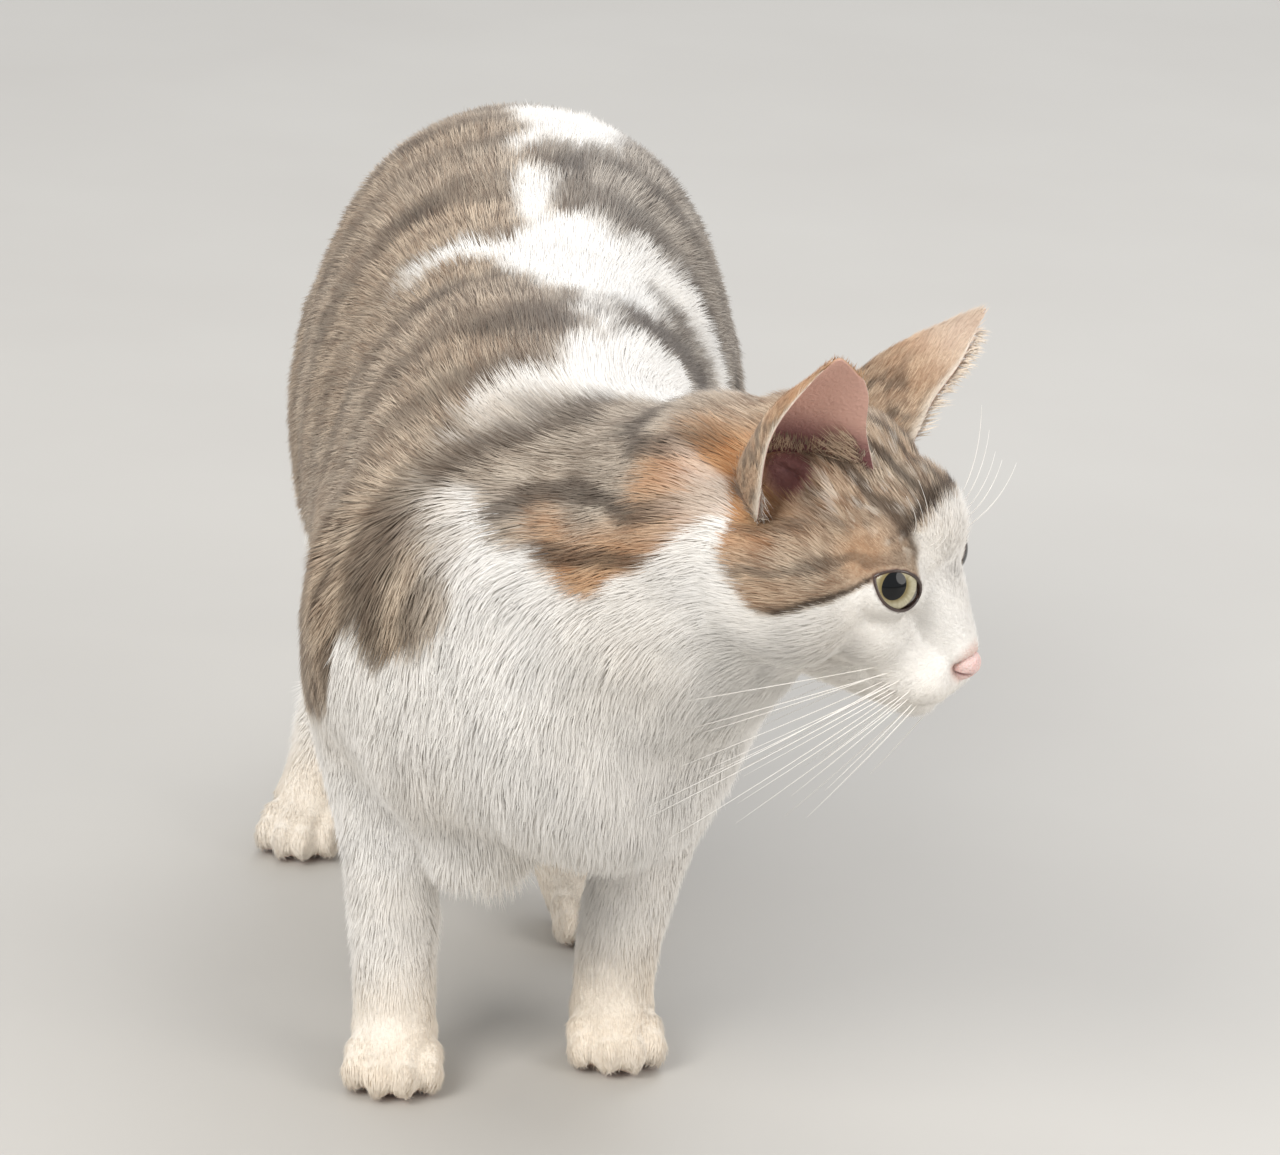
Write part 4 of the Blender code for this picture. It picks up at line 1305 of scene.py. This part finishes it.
def makeWhiskers():
    paths, radii = [], []
    taper = np.linspace(1, 0, 14) ** 0.8
    tip = whiskers["tip"]
    for side in sides.values():
        for row in range(whiskers["rows"]):
            for k in range(whiskers["each"]):
                root = (5.0 - 0.40 * k + 0.1 * row, side * (1.50 + 0.13 * k), -1.72 - 0.25 * row - 0.04 * k)
                way = np.array([-0.12 - 0.17 * k, side * 0.78, -0.50 - 0.20 * row + 0.04 * k])
                way = way + chance.normal(0, 0.07, 3)
                way /= np.linalg.norm(way)
                droop = np.array([-0.20 - 0.05 * k, -0.30 * side, -0.42 - 0.05 * row])
                long = np.interp(k, (0, 1.5, 3), whiskers["long"]) * chance.uniform(0.8, 1.12)
                paths.append(hairPath(root, way, droop, long))
                radii.append((tip + (whiskers["thick"] - tip) * taper) * mm)
        for k in range(whiskers["brows"]):
            root = (3.15 - 0.18 * k, side * (1.35 + 0.16 * k), 2.25 + 0.1 * k)
            way = np.array([0.45 - 0.1 * k, side * (0.25 + 0.1 * k), 0.85]) + chance.normal(0, 0.08, 3)
            way = way / np.linalg.norm(way)
            long = whiskers["browLong"] * chance.uniform(0.8, 1.15)
            paths.append(hairPath(root, way, (-0.35, side * 0.12, 0.0), long))
            radii.append((tip + (whiskers["browThick"] - tip) * taper) * mm)
    verts, faces = tubeMesh(paths, radii, 6)
    meshPiece("whiskers", verts, faces, whiskerMaterial)


makeWhiskers()


# Claws: small pale hooks, half hidden between the toes

claws = dict(long=0.42, thick=0.10)
clawMaterial, w, shader = newMaterial("claw", 0.3, Coat_Weight=0.3)
attach(w.noise(400.0).mixed(shade(222, 196, 176), shade(240, 224, 208)), shader, "Base Color")


def makeClaws():
    paths, radii = [], []
    t = np.linspace(0, 1, 9)[:, None]
    for foot in feet.values():
        space = pawSpace(foot)
        for at, turn in toeSpots(foot):
            a = math.radians(turn)
            front = np.array([math.sin(a), -math.cos(a), 0.0])
            tip = np.array(at) + front * (foot["halfLength"] * 0.42 - 0.58) + np.array([0, 0, -0.05])
            path = tip + front * t * claws["long"] - np.array([0, 0, 0.24]) * t * t
            paths.append(across(space, path))
            radii.append(claws["thick"] * pose["unit"] * (1 - t[:, 0] ** 1.5 * 0.9))
    verts, faces = tubeMesh(paths, radii, 8)
    meshPiece("claws", verts, faces, clawMaterial)


makeClaws()
print("nose, whiskers and claws are set")


# Coat: every tuft is a small closed spindle or spike with its root in the skin. For each region: length and
# width in mm, tufts to the square mm, and the rise in degrees at the root and at the tip; a bent tuft is widest
# at a third of its length

coat = dict(
    head=dict(long=6.6, wide=0.46, dense=2.6, rise=30, fall=9, bent=False),
    neck=dict(long=12.5, wide=0.52, dense=1.50, rise=23, fall=6, bent=False),
    trunk=dict(long=12.5, wide=0.58, dense=1.36, rise=24, fall=6, bent=False),
    tail=dict(long=14.0, wide=0.75, dense=0.80, rise=28, fall=12, bent=True),
    foreleg=dict(long=7.5, wide=0.50, dense=1.45, rise=24, fall=10, bent=False),
    hindleg=dict(long=9.0, wide=0.54, dense=1.20, rise=24, fall=10, bent=False),
    paw=dict(long=4.0, wide=0.44, dense=2.1, rise=20, fall=6, bent=False),
    ear=dict(long=4.8, wide=0.36, dense=2.8, rise=17, fall=6, bent=False),
)
# clumps and the depth of the roots in mm, swirl and stray in degrees, and the most triangles in a piece
coatWay = dict(clump=7.0, swirl=11.0, stray=6.5, sunk=0.35, soft=0.34, most=190000, quick=0.12, patch=0.003)


def coatValues(key, amounts):
    return amounts @ np.array([coat[name][key] for name in regionNames], float)


def lengthFactor(body, head, amounts, facing):
    # how much longer or shorter the hair is at each place
    face = amounts[:, regionAt["head"]]
    muzzle = np.linalg.norm((head - np.array([5.7, 0, -1.5])) / np.array([1.25, 1.0, 1.0]), axis=1)
    factor = 0.30 + 0.70 * smoothStep(0.5, 4.6, muzzle)
    for side in sides.values():
        eye = np.linalg.norm(head - eyeCentre(side), axis=1)
        factor *= 0.42 + 0.58 * smoothStep(1.3, 2.9, eye)
    ruff = smoothStep(0.5, -2.5, head[:, 0]) * smoothStep(1.0, -1.5, head[:, 2])
    factor = (factor * (1 + 0.45 * ruff)) * face + (1 - face)
    under = smoothStep(-0.2, -0.8, facing[:, 2])
    fringe = np.exp(-(((body - np.array([-0.4, 1.2, 9.6])) / np.array([3.4, 3.6, 2.6])) ** 2).sum(1))
    longer = amounts[:, regionAt["trunk"]] + amounts[:, regionAt["neck"]]
    return factor * (1 + longer * (0.75 * fringe + 0.28 * under))


def rootPlaces():
    # roots spread evenly for their density over the skin: triangle, and place in it
    skin.data.calc_loop_triangles()
    corners = np.empty(len(skin.data.loop_triangles) * 3, np.int64)
    skin.data.loop_triangles.foreach_get("vertices", corners)
    corners = corners.reshape(-1, 3)
    a, b, c = points[corners[:, 0]], points[corners[:, 1]], points[corners[:, 2]]
    area = np.linalg.norm(np.cross(b - a, c - a), axis=1) / 2 / mm**2
    middle = (a + b + c) / 3
    amounts = shares[corners].mean(1)
    facing = normals[corners].mean(1)
    short = lengthFactor(toBody(middle), toHead(middle), amounts, facing)
    dense = coatValues("dense", amounts) * np.clip(short, 0.25, 1) ** -0.8
    # none inside the ears, at their rims and tips, on the soles, in the eyes and on the nose
    high, fromRim = earHeight[corners].mean(1), earMiddle[corners].mean(1)
    dense *= 1 - earInside[corners].mean(1) * (high > 0.12)
    onSheet, farSide = amounts[:, -1] > 0.5, toHead(middle)[:, 1] > 0
    onBack = smoothStep(0.0, 0.04, fromRim) * (high < np.where(farSide, 0.92, 0.78))
    dense *= np.where(onSheet, onBack, 1)
    dense *= np.where(onSheet, 1, 1 - smoothStep(0.3, 0.55, earHollow(toHead(middle))))
    dense[(middle[:, 2] < 1.6 * mm) & (facing[:, 2] < -0.5)] = 0
    for side in sides.values():
        spots = eyeView(middle, side)
        near = (spots[:, 2] > 0.0) & (np.linalg.norm(spots, axis=1) < 1.75)
        dense[near & (lidGap(spots) < 0.10)] = 0
    leather = np.linalg.norm((toHead(middle) - nose["at"]) / (np.array(nose["size"]) + 0.03), axis=1)
    dense[leather < 1] = 0
    if not fullWork:
        dense *= coatWay["quick"]
    total = np.cumsum(dense * area)
    count = int(total[-1])
    spot = (np.arange(count) + chance.random(count)) * (total[-1] / count)
    face = np.minimum(np.searchsorted(total, spot), len(total) - 1)
    first, second = chance.random(count), chance.random(count)
    over = first + second > 1
    first[over], second[over] = 1 - first[over], 1 - second[over]
    weights = np.stack([1 - first - second, first, second], 1)
    return corners[face], weights


def tuftTable():
    # everything that shapes and colours each tuft, as one table of arrays
    corners, weights = rootPlaces()
    count = len(corners)

    def at(values):
        return (values[corners] * weights[..., None]).sum(1)

    root, facing, way, amounts = at(points), unitRows(at(normals)), at(lay), at(shares)
    body, head = toBody(root), toHead(root)
    way = unitRows(way - facing * (way * facing).sum(1, keepdims=True))
    clump = coatWay["clump"] * mm / pose["unit"]
    swirl = math.radians(coatWay["swirl"]) * (grain(body, clump, 21) + 0.6 * grain(body, clump * 2.7, 22))
    swirl += math.radians(coatWay["stray"]) * chance.normal(0, 1, count)
    way = way * np.cos(swirl)[:, None] + np.cross(facing, way) * np.sin(swirl)[:, None]
    across = np.cross(facing, way)
    factor = lengthFactor(body, head, amounts, facing)
    long = coatValues("long", amounts) * factor * chance.uniform(0.72, 1.12, count)
    long = long * (1 + 0.10 * grain(body, clump, 23)) * mm
    wide = coatValues("wide", amounts) * np.clip(factor, 0.5, 1.1) * chance.uniform(0.75, 1.2, count) * mm
    if not fullWork:
        wide *= 2.2
    lift = 1 + 0.28 * grain(body, clump, 24) + 0.15 * chance.normal(0, 1, count)
    rise = np.radians(coatValues("rise", amounts) * lift)
    fall = np.radians(coatValues("fall", amounts) * lift)
    # the colour is that of the place where the tuft shows
    shown = root + way * (long * chance.uniform(0.28, 0.46, count))[:, None]
    marks = rimmed(markings(shown, amounts), at(earMiddle[:, None])[:, 0], amounts[:, -1])
    luck = 0.5 + 0.52 * grain(body, 0.34, 26) + 0.38 * chance.uniform(-1, 1, count)
    luck = np.clip(luck + 0.35 * grain(body, 0.24, 27) * amounts[:, 0], 0, 1)
    return dict(
        root=root - facing * coatWay["sunk"] * mm,
        facing=facing,
        way=way,
        across=across,
        long=long,
        wide=wide,
        rise=rise,
        fall=fall,
        marks=marks,
        luck=luck,
        shadow=np.clip(0.10 * grain(body, clump, 25) + 0.04, 0, 0.2),
        body=body,
        head=head,
        region=np.argmax(amounts, 1),
        earIn=at(earInside[:, None])[:, 0],
    )


def unwrapped(name, table, chosen):
    # each root's place on a flat map of its region, from 0 to 1
    body, head, root = table["body"][chosen], table["head"][chosen], table["root"][chosen]

    def around(p, axis):
        # p centred and scaled: the turn round an axis and the angle from it
        others = [i for i in range(3) if i != axis]
        turn = np.arctan2(p[:, others[0]], p[:, others[1]]) / (2 * np.pi) + 0.5
        return turn, np.arccos(np.clip(p[:, axis] / np.linalg.norm(p, axis=1), -1, 1)) / np.pi

    if name == "trunk":
        return around((body - np.array([-0.8, 14.0, 17.0])) / np.array([8.0, 17.0, 9.0]), 1)
    if name == "neck":
        return around((body - np.array([3.4, -3.4, 19.0])) / np.array([6.0, 6.5, 7.0]), 2)
    if name == "head":
        return around((head - np.array([0.6, 0, -0.3])) / np.array([5.0, 4.0, 4.0]), 0)
    if name == "tail":
        way, place = alongTail(body)
        knots = np.linspace(0, 1, len(tailLine))
        off = body - np.stack([np.interp(place, knots, tailLine[:, i]) for i in range(3)], 1)
        return np.arctan2(off[:, 0], (off * np.cross(way, [1.0, 0, 0])).sum(1)) / (2 * np.pi) + 0.5, place
    if name == "ear":
        side = head[:, 1] > 0
        turn = np.arctan2(head[:, 0] + 2.2, np.abs(head[:, 1]) - 4.0) / (2 * np.pi) + 0.5
        u = (turn + (table["earIn"][chosen] > 0.5)) / 2
        return (u + side) / 2, np.clip((head[:, 2] - 1) / 7.5, 0, 1)
    if name == "paw":
        turn, polar, number = np.zeros(len(body)), np.zeros(len(body)), np.zeros(len(body))
        best = np.full(len(body), 1e9)
        for k, foot in enumerate(feet.values()):
            local = (body - foot["at"] - np.array([0, 0, 1.1])) / np.array([1.6, 2.3, 1.4])
            far = np.linalg.norm(local, axis=1)
            closer = far < best
            best[closer] = far[closer]
            t, p = around(local[closer], 2)
            turn[closer], polar[closer], number[closer] = t, p, k
        return (turn + number % 2) / 2, (polar + number // 2) / 2
    # legs: round each leg's own line, by height
    low, high = (0.5, 16.0)
    z = np.clip(body[:, 2], low, high)
    left = body[:, 0] > 0
    right, other = (feet[name[:4] + "paw_" + side]["shank"][0] for side in sides)
    mid = np.where(left[:, None], other, right)
    turn = np.arctan2(body[:, 0] - mid[:, 0], body[:, 1] - mid[:, 1]) / (2 * np.pi) + 0.5
    return (turn + left) / 2, (z - low) / (high - low)


def tuftMesh(name, table, chosen, uv, bent):
    # one mesh of many tufts; for each point of a tuft, lean turns its shading aside, along is how far it is
    # from the root, and flat is its place in the patch
    root, facing, way, across = (table[key][chosen] for key in ("root", "facing", "way", "across"))
    long, wide = table["long"][chosen][:, None], table["wide"][chosen][:, None]
    rise, fall = table["rise"][chosen][:, None], table["fall"][chosen][:, None]
    first = way * np.cos(rise) + facing * np.sin(rise)
    last = way * np.cos(fall) + facing * np.sin(fall)
    if bent:
        middle = root + first * long * 0.38
        tip = middle + last * long * 0.62
        half = across * wide * 0.5
        spots = [root, middle - half, middle + half, middle + facing * wide * 0.32, tip]
        faces = [(0, 1, 3), (0, 3, 2), (0, 2, 1), (4, 3, 1), (4, 2, 3), (4, 1, 2)]
        under = [2, 5]
        lean = [0, -1, 1, 0, 0]
        along = [0.0, 0.38, 0.38, 0.38, 1.0]
        flat = [(0, -1), (-1, 0), (1, 0), (0, 0.3), (0, 1)]
    else:
        tip = root + first * long * 0.5 + last * long * 0.5
        half, top = across * wide * 0.5, root + facing * wide * 0.45 + way * wide * 0.2
        spots = [root - half, root + half, top, tip]
        faces = [(0, 2, 1), (3, 2, 0), (3, 1, 2), (3, 0, 1)]
        under = [3]
        lean = [-1, 1, 0, 0]
        along = [0.15, 0.15, 0.15, 1.0]
        flat = [(-1, -1), (1, -1), (0, -0.6), (0, 1)]
    each, count = len(spots), len(root)
    verts = np.stack(spots, 1)
    verts[..., 2] = np.maximum(verts[..., 2], 0.5 * mm)
    turned = facing[:, None] + across[:, None] * np.array(lean)[None, :, None] * coatWay["soft"]
    shading = unitRows(turned.reshape(-1, 3))
    index = (np.arange(count)[:, None, None] * each + np.array(faces)[None]).reshape(-1)
    mesh = bpy.data.meshes.new(name)
    mesh.vertices.add(count * each)
    mesh.vertices.foreach_set("co", np.ascontiguousarray(verts, np.float32).ravel())
    mesh.loops.add(len(index))
    mesh.loops.foreach_set("vertex_index", index.astype(np.int32))
    mesh.polygons.add(len(index) // 3)
    mesh.polygons.foreach_set("loop_start", np.arange(0, len(index), 3, dtype=np.int32))
    mesh.update(calc_edges=True)
    mesh.shade_smooth()
    putColour(mesh, "coat", np.repeat(table["marks"][chosen], each, 0))
    luck, shadow = (np.repeat(table[key][chosen], each) for key in ("luck", "shadow"))
    putColour(mesh, "strand", np.stack([np.tile(along, count), luck, shadow, np.ones(count * each)], 1))
    patch = (uv[:, None] + np.array(flat)[None] * coatWay["patch"] / 2).reshape(-1, 2)
    layer = mesh.uv_layers.new(name="OFBake")
    layer.uv.foreach_set("vector", np.clip(patch[index], 0, 1).astype(np.float32).ravel())
    # soft shading from the skin's own direction on top, and the true one below
    turned = shading[index].reshape(count, len(faces), 3, 3)
    low = verts.reshape(-1, 3)[index].reshape(count, len(faces), 3, 3)[:, under]
    true = unitRows(np.cross(low[:, :, 1] - low[:, :, 0], low[:, :, 2] - low[:, :, 0]).reshape(-1, 3))
    turned[:, under] = true.reshape(count, len(under), 1, 3)
    mesh.normals_split_custom_set(turned.reshape(-1, 3))
    obj = bpy.data.objects.new(name, mesh)
    bpy.context.scene.collection.objects.link(obj)
    mesh.materials.append(coatMaterial)
    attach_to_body(obj, "root")
    return len(index) // 3


def growCoat():
    table = tuftTable()
    total = 0
    for number, name in enumerate(regionNames):
        chosen = np.nonzero(table["region"] == number)[0]
        if not len(chosen):
            continue
        u, v = unwrapped(name, table, chosen)
        uv = coatWay["patch"] + (1 - 2 * coatWay["patch"]) * np.stack([u, v], 1)
        order = np.argsort(v, kind="stable")
        bent = coat[name]["bent"]
        pieces = math.ceil(len(chosen) * (6 if bent else 4) / coatWay["most"])
        for k, some in enumerate(np.array_split(order, pieces)):
            total += tuftMesh(f"coat_{name}_{k + 1}", table, chosen[some], uv[some], bent)
        print("coat on the", name, "has", len(chosen), "tufts in", pieces, "pieces")
    print("coat triangles:", total)


growCoat()


# Long hairs at the ears. Each row gives the ear, how many hairs, their places across and up it, the way to
# run (across, up and out of the cup), the length in mm, the colour, and 1 to face out of the cup or -1 back

earHairs = [
    ("right", 130, (0.02, 0.12), (0.0, 0.22), (0.60, 0.70, 0.25), (6.0, 12.0), (0.35, 0.0, 0.35, 1.0), 1),
    ("right", 200, (0.86, 0.99), (0.0, 0.13), (0.15, -0.75, 0.35), (5.0, 9.0), (1.0, 0.0, 0.0, 0.2), 1),
    ("right", 70, (0.80, 0.95), (0.0, 0.10), (-0.4, 0.70, 0.30), (6.0, 10.0), (1.0, 0.0, 0.0, 0.3), 1),
    ("left", 480, (0.01, 0.08), (0.02, 0.86), (-0.55, 0.62, 0.35), (5.0, 9.0), (0.75, 0.0, 0.2, 0.8), -1),
    ("left", 160, (0.86, 0.98), (0.0, 0.5), (-0.4, 0.9, 0.2), (6.0, 11.0), (0.85, 0.0, 0.1, 0.5), 1),
]


def growEarHairs():
    for name, side in sides.items():
        root, facing, way, long, marks, spots = [], [], [], [], [], []
        mirror = Matrix.Diagonal((1, side, 1))
        turn = headSpace.to_3x3() @ mirror
        for ear, many, places, heights, (over, up, out), lengths, colour, face in earHairs:
            if ear != name:
                continue
            for _ in range(many if fullWork else many // 4):
                u, t = chance.uniform(*places), chance.uniform(*heights)
                wide = (earSpot(name, u + 0.02, t) - earSpot(name, u - 0.02, t)).normalized()
                high = (earSpot(name, u, t + 0.02) - earSpot(name, u, t - 0.02)).normalized()
                inward = wide.cross(high).normalized()
                at = earSpot(name, u, t) + inward * (ears["off"] + ears["thick"] * 0.6)
                run = wide * over + high * up + inward * out + Vector(chance.normal(0, 0.12, 3))
                root.append(headSpace @ (mirror @ at))
                facing.append((turn @ inward).normalized() * face)
                way.append((turn @ run.normalized()).normalized())
                long.append(chance.uniform(*lengths) * (1 - 0.45 * t) * mm)
                marks.append(colour)
                spots.append(((u + max(side, 0)) / 2, t))
        root, facing, way, count = np.array(root), np.array(facing), np.array(way), len(root)
        table = dict(
            root=root,
            facing=facing,
            way=way,
            across=unitRows(np.cross(facing, way)),
            long=np.array(long),
            wide=chance.uniform(0.22, 0.36, count) * mm,
            rise=np.zeros(count),
            fall=np.radians(chance.uniform(-12, 6, count)),
            marks=np.array(marks),
            luck=chance.random(count),
            shadow=np.zeros(count),
        )
        tuftMesh("ear_hairs_" + name, table, np.arange(count), np.array(spots), True)


growEarHairs()
